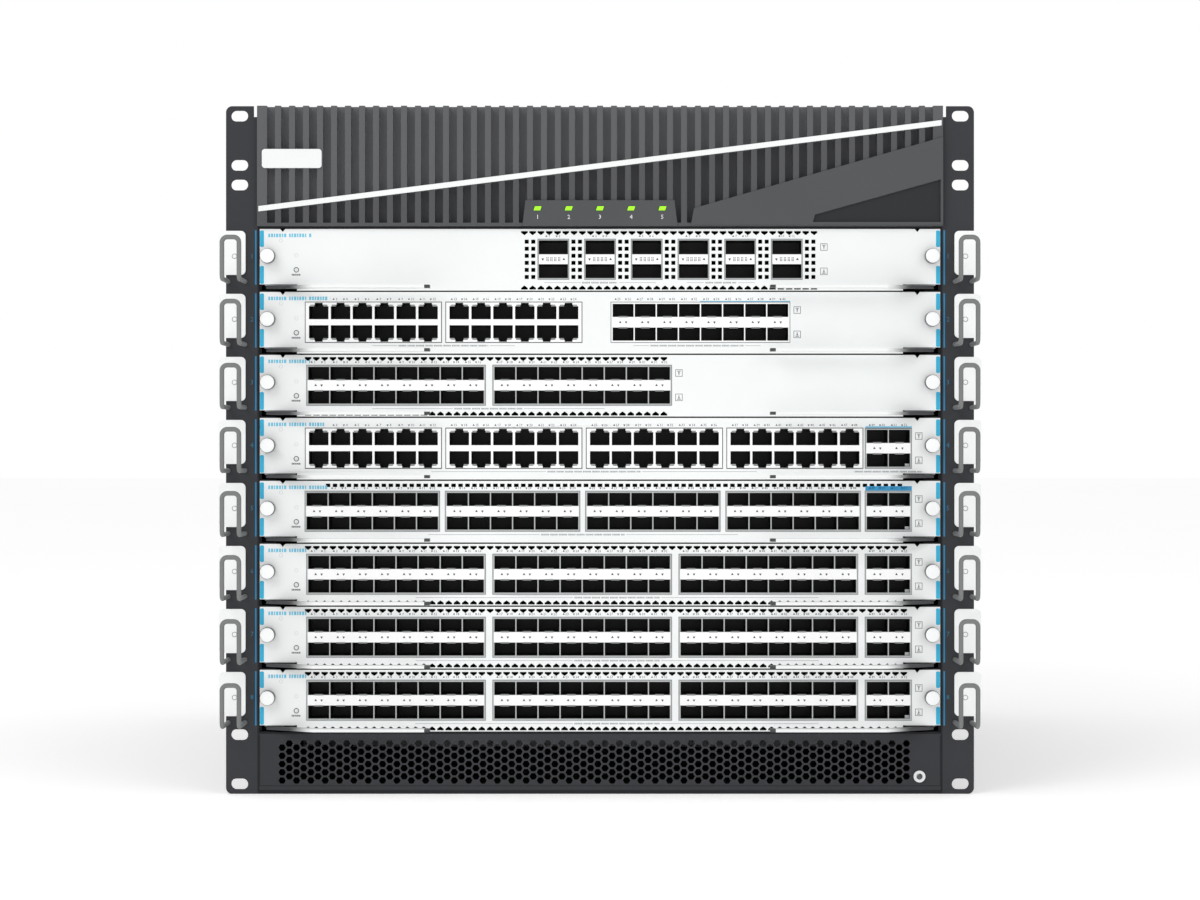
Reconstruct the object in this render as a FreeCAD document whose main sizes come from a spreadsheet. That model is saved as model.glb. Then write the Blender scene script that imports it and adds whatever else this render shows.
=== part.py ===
import FreeCAD, Part
import math
import os
import Sketcher

# Modular chassis switch for a 19-inch rack: ten rack units, eight line cards, front handles.
# Frame: origin at the centre of the base's underside, +Z up, front faces -Y, +X to the right.

doc = FreeCAD.newDocument("ChassisSwitch")
sheet = doc.addObject("Spreadsheet::Sheet", "Sizes")
sheet_rows = []


class Size:
    """A length that carries both its number and its spreadsheet formula."""

    def __init__(self, value, formula):
        self.value = float(value)
        self.formula = formula

    def combine(self, sign, other, swapped=False):
        other = other if isinstance(other, Size) else Size(other, repr(float(other)))
        left, right = (other, self) if swapped else (self, other)
        results = {
            "+": left.value + right.value,
            "-": left.value - right.value,
            "*": left.value * right.value,
        }
        value = left.value / right.value if sign == "/" else results[sign]
        return Size(value, "(" + left.formula + " " + sign + " " + right.formula + ")")

    def __add__(self, other):
        return self.combine("+", other)

    def __radd__(self, other):
        return self.combine("+", other, swapped=True)

    def __sub__(self, other):
        return self.combine("-", other)

    def __rsub__(self, other):
        return self.combine("-", other, swapped=True)

    def __mul__(self, other):
        return self.combine("*", other)

    def __rmul__(self, other):
        return self.combine("*", other, swapped=True)

    def __truediv__(self, other):
        return self.combine("/", other)

    def __neg__(self):
        return self.combine("*", -1)


def size(alias, number):
    """Write one driving dimension into the sheet and return it as a Size."""
    sheet_rows.append(alias)
    row = str(len(sheet_rows))
    sheet.set("A" + row, alias)
    sheet.set("B" + row, str(number))
    sheet.setAlias("B" + row, alias)
    return Size(number, "Sizes." + alias)


# ---- driving dimensions, in millimetres ----

# rack and chassis
rack_units = size("rack_units", 10)
rack_unit = size("rack_unit", 44.45)
rack_slack = size("rack_slack", 0.8)
chassis_width = size("chassis_width", 442)
chassis_depth = size("chassis_depth", 560)
wall = size("wall", 1.2)
base_thickness = size("base_thickness", 2.5)
deck_thickness = size("deck_thickness", 1.2)
cover_thickness = size("cover_thickness", 1.2)
intake_height = size("intake_height", 36.1)
slot_count = size("slot_count", 8)
slot_pitch = size("slot_pitch", 40.64)

# rack ears and their bolt slots
ear_span = size("ear_span", 482.6)
ear_thickness = size("ear_thickness", 2.5)
ear_leg_depth = size("ear_leg_depth", 42)
ear_step_height = size("ear_step_height", 7)
ear_corner = size("ear_corner", 4)
rack_hole_spacing = size("rack_hole_spacing", 465.1)
rack_hole_end = size("rack_hole_end", 6.35)
rack_hole_step = size("rack_hole_step", 31.75)
rack_hole_short_step = size("rack_hole_short_step", 12.7)
rack_slot_length = size("rack_slot_length", 11)
rack_slot_width = size("rack_slot_width", 7)
ear_screw_radius = size("ear_screw_radius", 3.5)
ear_screw_height = size("ear_screw_height", 1.6)
ear_screw_count = size("ear_screw_count", 5)
ear_screw_pitch = size("ear_screw_pitch", 95)
ear_screw_first = size("ear_screw_first", 32)
ear_screw_inset = size("ear_screw_inset", 26)

# bezel
bezel_depth = size("bezel_depth", 20)
bezel_proud = size("bezel_proud", 3)
groove_count = size("groove_count", 48)
groove_pitch = size("groove_pitch", 9.02)
groove_width = size("groove_width", 5.12)
groove_depth = size("groove_depth", 7)
groove_bottom_rim = size("groove_bottom_rim", 2.2)
panel_raise = size("panel_raise", 1)
lamp_panel_width = size("lamp_panel_width", 100)
lamp_panel_top_width = size("lamp_panel_top_width", 96)
lamp_panel_height = size("lamp_panel_height", 16.6)
wedge_left = size("wedge_left", 58.6)
wedge_slope_left = size("wedge_slope_left", 60.5)
wedge_left_height = size("wedge_left_height", 11.5)
wedge_right_height = size("wedge_right_height", 57.4)
wedge_bottom = size("wedge_bottom", 0.7)
inset_left = size("inset_left", 137.1)
inset_slope_left = size("inset_slope_left", 138.4)
inset_right_margin = size("inset_right_margin", 1.6)
inset_bottom = size("inset_bottom", 2.6)
inset_left_height = size("inset_left_height", 7.3)
inset_right_height = size("inset_right_height", 30)
inset_depth = size("inset_depth", 1.5)
lens_count = size("lens_count", 5)
lens_pitch = size("lens_pitch", 20.1)
lens_width = size("lens_width", 4.3)
lens_height = size("lens_height", 2.7)
lens_slant = size("lens_slant", 0.9)
lens_level = size("lens_level", 11.3)
lens_depth = size("lens_depth", 3)
lens_proud = size("lens_proud", 0.3)
lens_clearance = size("lens_clearance", 0.05)
stripe_left_level = size("stripe_left_level", 11.1)
stripe_right_level = size("stripe_right_level", 66.5)
stripe_width = size("stripe_width", 3.5)
stripe_proud = size("stripe_proud", 0.8)
stripe_margin = size("stripe_margin", 1)
badge_width = size("badge_width", 38.5)
badge_height = size("badge_height", 12.3)
badge_level = size("badge_level", 43.4)
badge_margin = size("badge_margin", 3.3)
badge_thickness = size("badge_thickness", 1.4)
badge_corner = size("badge_corner", 2)

# intake grille and its grounding socket
grille_thickness = size("grille_thickness", 1.5)
hex_columns = size("hex_columns", 88)
hex_rows = size("hex_rows", 5)
hex_column_pitch = size("hex_column_pitch", 4.63)
hex_row_pitch = size("hex_row_pitch", 5.3)
hex_width = size("hex_width", 4.8)
hex_offset = size("hex_offset", -3.7)
socket_offset = size("socket_offset", 206)
socket_level = size("socket_level", 11.3)
socket_flange_radius = size("socket_flange_radius", 3.8)
socket_flange_height = size("socket_flange_height", 1.4)
socket_barrel_radius = size("socket_barrel_radius", 2.9)
socket_bore_radius = size("socket_bore_radius", 2)
socket_bore_depth = size("socket_bore_depth", 15)
socket_length = size("socket_length", 18)

# line cards
plate_thickness = size("plate_thickness", 2)
plate_gap = size("plate_gap", 0.94)
card_clearance = size("card_clearance", 0.3)
notch_width = size("notch_width", 24)
notch_height = size("notch_height", 4)
dent_offset = size("dent_offset", 14.8)
dent_width = size("dent_width", 3.2)
dent_depth = size("dent_depth", 2)
window_clearance = size("window_clearance", 0.15)
block_height = size("block_height", 25.6)
block_rise = size("block_rise", 0.3)
block_proud = size("block_proud", 0.3)
block_depth = size("block_depth", 26)
port_depth = size("port_depth", 20)
board_thickness = size("board_thickness", 1.6)
board_depth = size("board_depth", 368)
board_margin = size("board_margin", 0.8)
connector_width = size("connector_width", 280)
connector_height = size("connector_height", 10)
connector_depth = size("connector_depth", 12)
connector_overhang = size("connector_overhang", 4)
receptacle_depth = size("receptacle_depth", 8)
backplane_thickness = size("backplane_thickness", 3)
backplane_width = size("backplane_width", 310)
sink_width = size("sink_width", 90)
sink_depth = size("sink_depth", 80)
sink_height = size("sink_height", 22)
sink_base = size("sink_base", 4)
sink_fins = size("sink_fins", 15)
sink_fin_thickness = size("sink_fin_thickness", 1.6)
sink_spacing = size("sink_spacing", 150)
sink_start = size("sink_start", 130)
card_lamp_offset = size("card_lamp_offset", 23.6)
card_lamp_drop = size("card_lamp_drop", 6.5)
card_lamp_radius = size("card_lamp_radius", 1.2)

# port blocks
copper_pitch = size("copper_pitch", 14.1)
copper_width = size("copper_width", 12.6)
copper_height = size("copper_height", 8.4)
copper_shoulder_width = size("copper_shoulder_width", 9)
copper_shoulder_height = size("copper_shoulder_height", 9.4)
copper_latch_width = size("copper_latch_width", 5)
copper_latch_height = size("copper_latch_height", 10.6)
copper_half_band = size("copper_half_band", 1.95)
copper_side_rim = size("copper_side_rim", 2.15)
fibre_pitch = size("fibre_pitch", 14.25)
fibre_width = size("fibre_width", 13.5)
fibre_height = size("fibre_height", 8.4)
fibre_half_band = size("fibre_half_band", 3.45)
fibre_side_rim = size("fibre_side_rim", 0.9)
wide_port_width = size("wide_port_width", 18.8)
wide_port_height = size("wide_port_height", 8.9)
wide_port_half_band = size("wide_port_half_band", 3.25)
wide_port_side_rim = size("wide_port_side_rim", 0.4)
copper_first = size("copper_first", -146.2)
copper_block_pitch = size("copper_block_pitch", 90.65)
fibre_six_first = size("fibre_six_first", -146.9)
fibre_six_pitch = size("fibre_six_pitch", 90.5)
fibre_eight_first = size("fibre_eight_first", -131.6)
fibre_eight_pitch = size("fibre_eight_pitch", 120.1)
mixed_fibre_place = size("mixed_fibre_place", 64.8)
uplink_place = size("uplink_place", 186)
wide_port_first = size("wide_port_first", -30.1)
wide_port_pitch = size("wide_port_pitch", 30.13)

# vents in the faceplates
vent_pitch = size("vent_pitch", 5.34)
vent_width = size("vent_width", 4.3)
vent_height = size("vent_height", 2.7)
vent_shoulder = size("vent_shoulder", 1.1)
vent_top_rim = size("vent_top_rim", 1.3)
vent_bottom_rim = size("vent_bottom_rim", 0.6)
vent_left = size("vent_left", -188.4)
slit_pitch = size("slit_pitch", 4.5)
slit_width = size("slit_width", 3)
slit_height = size("slit_height", 2.2)
slit_level = size("slit_level", 17)
slit_left = size("slit_left", -175.5)
square_width = size("square_width", 2.65)
square_row_pitch = size("square_row_pitch", 4.56)
square_pair_pitch = size("square_pair_pitch", 4.2)
square_rows = size("square_rows", 6)

# thumbscrews, front posts, levers
knob_inset = size("knob_inset", 5.5)
knob_rise = size("knob_rise", 2.15)
knob_radius = size("knob_radius", 4.95)
knob_height = size("knob_height", 7.5)
knob_neck_radius = size("knob_neck_radius", 3.8)
knob_neck_height = size("knob_neck_height", 1)
knob_edge = size("knob_edge", 0.7)
shank_radius = size("shank_radius", 2)
shank_reach = size("shank_reach", 4)
running_fit = size("running_fit", 0.06)
post_width = size("post_width", 11)
post_thickness = size("post_thickness", 2)
post_window_rise = size("post_window_rise", 6.2)
lever_pivot_inset = size("lever_pivot_inset", 7.5)
lever_pivot_depth = size("lever_pivot_depth", 6)
lever_length = size("lever_length", 103)
lever_reach = size("lever_reach", 15.5)
lever_width = size("lever_width", 7.5)
lever_slope = size("lever_slope", 28)
lever_neck = size("lever_neck", 3.5)
lever_boss_radius = size("lever_boss_radius", 4.5)
lever_thickness = size("lever_thickness", 2)
lever_level = size("lever_level", 0.95)
pivot_radius = size("pivot_radius", 1.5)
bracket_clearance = size("bracket_clearance", 0.3)
bracket_thickness = size("bracket_thickness", 2)
bracket_length = size("bracket_length", 19.5)
bracket_depth = size("bracket_depth", 9)
bracket_flange_height = size("bracket_flange_height", 7)

# card rails
rail_width = size("rail_width", 14)
rail_height = size("rail_height", 6.4)
rail_setback = size("rail_setback", 16)
rail_slot_clearance = size("rail_slot_clearance", 0.2)

# cable guides
guide_plate_inner = size("guide_plate_inner", 228.6)
guide_plate_outer = size("guide_plate_outer", 245.8)
guide_plate_above = size("guide_plate_above", 16.4)
guide_plate_below = size("guide_plate_below", 12)
guide_plate_thickness = size("guide_plate_thickness", 1.5)
guide_plate_corner = size("guide_plate_corner", 3)
guide_centre = size("guide_centre", 234.4)
guide_width = size("guide_width", 13.8)
guide_above = size("guide_above", 11.7)
guide_below = size("guide_below", 17.7)
guide_reach = size("guide_reach", 32)
guide_wire_radius = size("guide_wire_radius", 1.5)
guide_bend = size("guide_bend", 3.4)

# rear modules
module_clearance = size("module_clearance", 0.4)
tray_depth = size("tray_depth", 120)
tray_wall = size("tray_wall", 1.5)
fan_offset = size("fan_offset", 108)
fan_opening_radius = size("fan_opening_radius", 92)
fan_duct_wall = size("fan_duct_wall", 3)
fan_duct_depth = size("fan_duct_depth", 64)
guard_wire_radius = size("guard_wire_radius", 1.2)
guard_ring_step = size("guard_ring_step", 21)
motor_radius = size("motor_radius", 30)
motor_depth = size("motor_depth", 26)
strut_width = size("strut_width", 9)
shaft_radius = size("shaft_radius", 4)
shaft_clearance = size("shaft_clearance", 0.5)
rotor_gap = size("rotor_gap", 1)
rotor_hub_radius = size("rotor_hub_radius", 33)
rotor_depth = size("rotor_depth", 26)
rotor_radius = size("rotor_radius", 89)
rotor_cap = size("rotor_cap", 5)
blade_count = size("blade_count", 7)
blade_thickness = size("blade_thickness", 2.5)
blade_chord = size("blade_chord", 44)
blade_pitch_angle = size("blade_pitch_angle", 32)
supply_depth = size("supply_depth", 300)
control_depth = size("control_depth", 250)
handle_width = size("handle_width", 90)
handle_reach = size("handle_reach", 26)
handle_bar = size("handle_bar", 7)
inlet_width = size("inlet_width", 27.5)
inlet_height = size("inlet_height", 20)
inlet_depth = size("inlet_depth", 18)
inlet_offset = size("inlet_offset", 82)
exhaust_width = size("exhaust_width", 3)
exhaust_height = size("exhaust_height", 22)
exhaust_pitch = size("exhaust_pitch", 6)
exhaust_depth = size("exhaust_depth", 6)

doc.recompute()

# ---- lengths that follow from the driving dimensions ----

height = rack_units * rack_unit - rack_slack
half_width = chassis_width / 2
inner_half = half_width - wall
front = -chassis_depth / 2
rear = chassis_depth / 2
slot_floor = base_thickness + intake_height + deck_thickness
slot_ceiling = slot_floor + slot_count * slot_pitch
bezel_floor = slot_ceiling + deck_thickness
cover_floor = height - cover_thickness
plate_half_width = inner_half - card_clearance
plate_half_height = (slot_pitch - plate_gap) / 2
post_half = inner_half - post_width
board_half = post_half - board_margin
board_top = block_rise - block_height / 2
board_floor = board_top - board_thickness
board_start = plate_thickness + bracket_thickness
board_end = board_start + board_depth
connector_end = board_end + connector_overhang
backplane_front = front + connector_end + card_clearance + receptacle_depth
knob_place = plate_half_width - knob_inset
pivot_place = plate_half_width - lever_pivot_inset
lever_floor = lever_level - plate_half_height
screw_hole_radius = shank_radius + running_fit

ORIGIN = FreeCAD.Vector(0, 0, 0)
ALONG_Y = FreeCAD.Rotation(FreeCAD.Vector(1, 0, 0), -90)
ALONG_X = FreeCAD.Rotation(FreeCAD.Vector(0, 1, 0), 90)
UPRIGHT = FreeCAD.Rotation()


def whole(length):
    """The whole number that a counting size stands for."""
    return int(round(length.value))


def slot_centre(slot):
    """Height of a card's middle line; slot 1 is the top one."""
    return slot_floor + (slot_count - slot + 0.5) * slot_pitch


# ---- small builders: every length given to them is tied to the sheet ----


def tie(item, path, length):
    formula = length.formula if isinstance(length, Size) else repr(length)
    item.setExpression(path, formula)


def seat(item, x=0, y=0, z=0):
    """Tie an object's place to three lengths."""
    tie(item, "Placement.Base.x", x)
    tie(item, "Placement.Base.y", y)
    tie(item, "Placement.Base.z", z)
    return item


def block(name, x, y, z):
    """A box between two ends along each axis."""
    box = doc.addObject("Part::Box", name)
    tie(box, "Length", x[1] - x[0])
    tie(box, "Width", y[1] - y[0])
    tie(box, "Height", z[1] - z[0])
    return seat(box, x[0], y[0], z[0])


def rod(name, radius, length, place, turn=UPRIGHT):
    """A cylinder that starts at place and runs along the turned Z axis."""
    cylinder = doc.addObject("Part::Cylinder", name)
    cylinder.Placement = FreeCAD.Placement(ORIGIN, turn)
    tie(cylinder, "Radius", radius)
    tie(cylinder, "Height", length)
    return seat(cylinder, *place)


def quarter_bend(name, bend, wire, place, turn):
    """A quarter of a ring, for a bend in round wire."""
    ring = doc.addObject("Part::Torus", name)
    ring.Placement = FreeCAD.Placement(ORIGIN, turn)
    ring.Angle3 = 90
    tie(ring, "Radius1", bend)
    tie(ring, "Radius2", wire)
    return seat(ring, *place)


def fuse(name, parts):
    joined = doc.addObject("Part::MultiFuse", name)
    joined.Shapes = parts
    return joined


def cut(name, base, tool):
    result = doc.addObject("Part::Cut", name)
    result.Base = base
    result.Tool = tool
    return result


def copy_of(name, source, x=0, y=0, z=0):
    link = doc.addObject("App::Link", name)
    link.LinkedObject = source
    link.LinkTransform = True
    return seat(link, x, y, z)


def mirror_of(name, source):
    """The same piece on the other side of the middle plane X = 0."""
    mirrored = doc.addObject("Part::Mirroring", name)
    mirrored.Source = source
    mirrored.Base = ORIGIN
    mirrored.Normal = FreeCAD.Vector(1, 0, 0)
    return mirrored


def group(name, parts):
    """Several separate solids that make one sub-part."""
    compound = doc.addObject("Part::Compound", name)
    compound.Links = parts
    return compound


def prisms(name, outlines, start, depth):
    """Many small straight holes as one cutting tool: each outline is a list of (x, z) points.

    It stays a plain shape because hundreds of patterned pockets would take minutes."""
    tools = []
    for outline in outlines:
        corners = [FreeCAD.Vector(x, start.value, z) for x, z in outline]
        face = Part.Face(Part.makePolygon(corners + corners[:1]))
        tools.append(face.extrude(FreeCAD.Vector(0, depth.value, 0)))
    feature = doc.addObject("Part::Feature", name)
    feature.Shape = Part.makeCompound(tools)
    return feature


def new_body(name):
    return doc.addObject("PartDesign::Body", name)


def origin_part(body, role):
    return [item for item in body.Origin.OriginFeatures if item.Role == role][0]


def new_sketch(body, name, plane, offset):
    """A sketch on one of the body's own origin planes, moved along the plane's normal."""
    sketch = body.newObject("Sketcher::SketchObject", name)
    sketch.AttachmentSupport = [(origin_part(body, plane), "")]
    sketch.MapMode = "FlatFace"
    tie(sketch, "AttachmentOffset.Base.z", offset)
    return sketch


def pin_point(sketch, geometry, end, point):
    """Fix one end or centre of a sketch line, arc or circle at an (x, y) pair of sizes."""
    for kind, length in (("DistanceX", point[0]), ("DistanceY", point[1])):
        number = sketch.addConstraint(
            Sketcher.Constraint(kind, -1, 1, geometry, end, length.value)
        )
        tie(sketch, "Constraints[%d]" % number, length)


def polygon(sketch, points):
    first = sketch.GeometryCount
    corners = [FreeCAD.Vector(x.value, y.value, 0) for x, y in points]
    for start, end in zip(corners, corners[1:] + corners[:1]):
        sketch.addGeometry(Part.LineSegment(start, end))
    for index, point in enumerate(points):
        following = first + (index + 1) % len(points)
        sketch.addConstraint(Sketcher.Constraint("Coincident", first + index, 2, following, 1))
        pin_point(sketch, first + index, 1, point)


def rectangle(sketch, x, y):
    polygon(sketch, [(x[0], y[0]), (x[1], y[0]), (x[1], y[1]), (x[0], y[1])])


def circle(sketch, centre, radius):
    middle = FreeCAD.Vector(centre[0].value, centre[1].value, 0)
    geometry = sketch.addGeometry(Part.Circle(middle, FreeCAD.Vector(0, 0, 1), radius.value))
    pin_point(sketch, geometry, 3, centre)
    number = sketch.addConstraint(Sketcher.Constraint("Radius", geometry, radius.value))
    tie(sketch, "Constraints[%d]" % number, radius)


def obround(sketch, centre, length, width):
    """A slot with round ends that runs along the sketch's X axis."""
    radius = width / 2
    reach = (length - width) / 2
    ends = [(centre[0] - reach, centre[1]), (centre[0] + reach, centre[1])]
    normal = FreeCAD.Vector(0, 0, 1)
    arcs = []
    for end, turn in zip(ends, (math.pi / 2, -math.pi / 2)):
        middle = FreeCAD.Vector(end[0].value, end[1].value, 0)
        round_end = Part.Circle(middle, normal, radius.value)
        arcs.append(sketch.addGeometry(Part.ArcOfCircle(round_end, turn, turn + math.pi)))
    lines = []
    for side in (-1, 1):
        level = centre[1].value + side * radius.value
        start = FreeCAD.Vector(ends[0][0].value, level, 0)
        end = FreeCAD.Vector(ends[1][0].value, level, 0)
        lines.append(sketch.addGeometry(Part.LineSegment(start, end)))
    joints = [(arcs[0], 2, lines[0], 1), (lines[0], 2, arcs[1], 1)]
    joints += [(arcs[1], 2, lines[1], 2), (lines[1], 1, arcs[0], 1)]
    for joint in joints:
        sketch.addConstraint(Sketcher.Constraint("Tangent", *joint))
    for arc, end in zip(arcs, ends):
        pin_point(sketch, arc, 3, end)
        number = sketch.addConstraint(Sketcher.Constraint("Radius", arc, radius.value))
        tie(sketch, "Constraints[%d]" % number, radius)


def pad(body, name, sketch, length):
    feature = body.newObject("PartDesign::Pad", name)
    feature.Profile = sketch
    tie(feature, "Length", length)
    return feature


def pocket(body, name, sketch, depth):
    feature = body.newObject("PartDesign::Pocket", name)
    feature.Profile = sketch
    tie(feature, "Length", depth)
    return feature


def front_sketch(body, name, y):
    """A sketch in an XZ plane. Its normal points to -Y: pads come forward, pockets go back."""
    return new_sketch(body, name, "XZ_Plane", -y)


def row_of(body, name, originals, axis, pitch, count):
    """Repeat features along an origin axis of the body."""
    pattern = body.newObject("PartDesign::LinearPattern", name)
    pattern.Originals = originals
    pattern.Direction = (origin_part(body, axis), [""])
    pattern.Mode = "Spacing"
    tie(pattern, "Offset", pitch)
    tie(pattern, "Occurrences", count)
    body.Tip = pattern
    return pattern


def round_edges(body, name, feature, radius, direction, keep):
    """Round the feature's straight edges along a direction whose middle point passes keep."""
    doc.recompute()
    chosen = []
    for index, edge in enumerate(feature.Shape.Edges):
        if not isinstance(edge.Curve, Part.Line):
            continue
        along = abs(edge.tangentAt(edge.FirstParameter).dot(direction)) > 0.999
        if along and keep(edge.CenterOfMass):
            chosen.append("Edge%d" % (index + 1))
    rounded = body.newObject("PartDesign::Fillet", name)
    rounded.Base = (feature, chosen)
    tie(rounded, "Radius", radius)
    body.Tip = rounded
    return rounded


nodes = []


def node(item, label):
    item.Label = label
    nodes.append(item)
    return item


# ---- chassis frame: base, side walls and two decks, and a drilled post at each side of the slots ----


def build_side_wall():
    """Right-hand side sheet, with a notch at its upper front for the bezel."""
    body = new_body("SideWall")
    outline = new_sketch(body, "SideWallOutline", "YZ_Plane", inner_half)
    polygon(
        outline,
        [
            (front, base_thickness),
            (rear, base_thickness),
            (rear, cover_floor),
            (front + bezel_depth, cover_floor),
            (front + bezel_depth, bezel_floor),
            (front, bezel_floor),
        ],
    )
    pad(body, "SideWallPad", outline, wall)
    return body


def build_deck(name, reach, floor, thickness):
    """A flat sheet across the chassis."""
    return block(name, (-reach, reach), (front, rear), (floor, floor + thickness))


def build_post():
    body = new_body("SlotPost")
    post_front = front + plate_thickness
    outline = front_sketch(body, "PostOutline", post_front + post_thickness)
    rectangle(outline, (post_half, inner_half), (slot_floor, slot_ceiling))
    pad(body, "PostPad", outline, post_thickness)
    openings = front_sketch(body, "PostOpenings", post_front)
    lowest = slot_floor + slot_pitch / 2
    window_top = lowest - plate_half_height + post_window_rise
    rectangle(
        openings,
        (post_half - post_thickness, inner_half - wall),
        (lowest - plate_half_height, window_top),
    )
    circle(openings, (knob_place, lowest + knob_rise), screw_hole_radius)
    cutout = pocket(body, "PostCutout", openings, post_thickness)
    doc.recompute()
    row_of(body, "PostRow", [cutout], "Z_Axis", slot_pitch, slot_count)
    return body


right_wall = build_side_wall()
right_post = build_post()
frame_parts = [
    build_deck("BaseSheet", half_width, 0 * height, base_thickness),
    build_deck("LowerDeck", inner_half, slot_floor - deck_thickness, deck_thickness),
    build_deck("UpperDeck", inner_half, slot_ceiling, deck_thickness),
    right_wall,
    mirror_of("SideWallLeft", right_wall),
    right_post,
    mirror_of("SlotPostLeft", right_post),
]
node(group("ChassisFrame", frame_parts), "chassis_frame")

cover = block(
    "TopCover",
    (-half_width, half_width),
    (front + bezel_depth, rear),
    (cover_floor, height),
)
node(cover, "top_cover")

# ---- card rails: one grooved rail per slot and side ----


def build_rails():
    body = new_body("CardRails")
    rail_end = backplane_front
    profile = front_sketch(body, "RailProfile", rail_end)
    middle = slot_floor + slot_pitch / 2 + (board_floor + board_top) / 2
    groove_half = board_thickness / 2 + rail_slot_clearance
    groove_end = board_half + rail_slot_clearance
    inner = inner_half - rail_width
    polygon(
        profile,
        [
            (inner, middle - rail_height / 2),
            (inner_half, middle - rail_height / 2),
            (inner_half, middle + rail_height / 2),
            (inner, middle + rail_height / 2),
            (inner, middle + groove_half),
            (groove_end, middle + groove_half),
            (groove_end, middle - groove_half),
            (inner, middle - groove_half),
        ],
    )
    rail = pad(body, "RailPad", profile, rail_end - front - rail_setback)
    doc.recompute()
    row_of(body, "RailRow", [rail], "Z_Axis", slot_pitch, slot_count)
    return body


right_rails = build_rails()
left_rails = mirror_of("CardRailsLeft", right_rails)
node(group("CardGuides", [left_rails, right_rails]), "card_guides")

# ---- backplane with one receptacle per card; air for the fans passes at both of its sides ----

backplane_board = block(
    "BackplaneBoard",
    (-backplane_width / 2, backplane_width / 2),
    (backplane_front, backplane_front + backplane_thickness),
    (slot_floor, slot_ceiling),
)
receptacle = block(
    "Receptacle",
    (-connector_width / 2, connector_width / 2),
    (backplane_front - receptacle_depth, backplane_front),
    (board_top, board_top + connector_height),
)
backplane_parts = [backplane_board]
for slot in range(1, whole(slot_count) + 1):
    backplane_parts.append(copy_of("Receptacle%d" % slot, receptacle, z=slot_centre(slot)))
node(group("Backplane", backplane_parts), "backplane")

# ---- rack ears: L-shaped sheet with slotted holes and a row of pan-head screws on the leg ----


def build_ear():
    body = new_body("RackEar")
    section = new_sketch(body, "EarSection", "XY_Plane", 0 * height)
    polygon(
        section,
        [
            (half_width, front),
            (ear_span / 2, front),
            (ear_span / 2, front + ear_thickness),
            (half_width + ear_thickness, front + ear_thickness),
            (half_width + ear_thickness, front + ear_leg_depth),
            (half_width, front + ear_leg_depth),
        ],
    )
    ear = pad(body, "EarPad", section, height)
    holes = front_sketch(body, "EarHoles", front)
    place = rack_hole_spacing / 2
    levels = [
        rack_hole_end,
        rack_hole_end + rack_hole_step,
        height - rack_hole_end,
        height - rack_hole_end - rack_hole_step,
        height - rack_hole_end - rack_hole_step - rack_hole_short_step,
    ]
    for level in levels:
        obround(holes, (place, level), rack_slot_length, rack_slot_width)
    pocket(body, "EarSlots", holes, ear_thickness)
    corner = front_sketch(body, "EarStep", front)
    step = (height - ear_step_height, height)
    rectangle(corner, (half_width, half_width + ear_thickness), step)
    pocket(body, "EarStepPocket", corner, ear_leg_depth)
    doc.recompute()
    outer = ear_span.value / 2 - 0.1
    flange_back = front.value + ear_thickness.value
    return round_edges(
        body,
        "EarCorners",
        body.Tip,
        ear_corner,
        FreeCAD.Vector(0, 1, 0),
        lambda place: place.x > outer and place.y < flange_back,
    ).getParentGeoFeatureGroup()


ear = build_ear()
ear_screw = rod(
    "EarScrew",
    ear_screw_radius,
    ear_screw_height,
    (half_width + ear_thickness, front + ear_screw_inset, ear_screw_first),
    ALONG_X,
)
ear_parts = [ear]
for index in range(whole(ear_screw_count)):
    ear_parts.append(copy_of("EarScrew%d" % index, ear_screw, z=index * ear_screw_pitch))
right_ear = group("RackEarRight", ear_parts)
node(mirror_of("RackEarLeft", right_ear), "rack_ear_left")
node(right_ear, "rack_ear_right")

# ---- bezel: upright ribs, raised lamp panel, sloping flat area with a darker inset ----

bezel_front = front - bezel_proud
panel_front = bezel_front - panel_raise


def lens_outline(centre, level, inset):
    """The four corners of one slanted status lens."""
    left = centre - lens_width / 2 + inset
    right = centre + lens_width / 2 - inset
    low = level - lens_height / 2 + inset
    high = level + lens_height / 2 - inset
    lean = lens_slant / 2
    return [(left - lean, low), (right - lean, low), (right + lean, high), (left + lean, high)]


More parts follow.
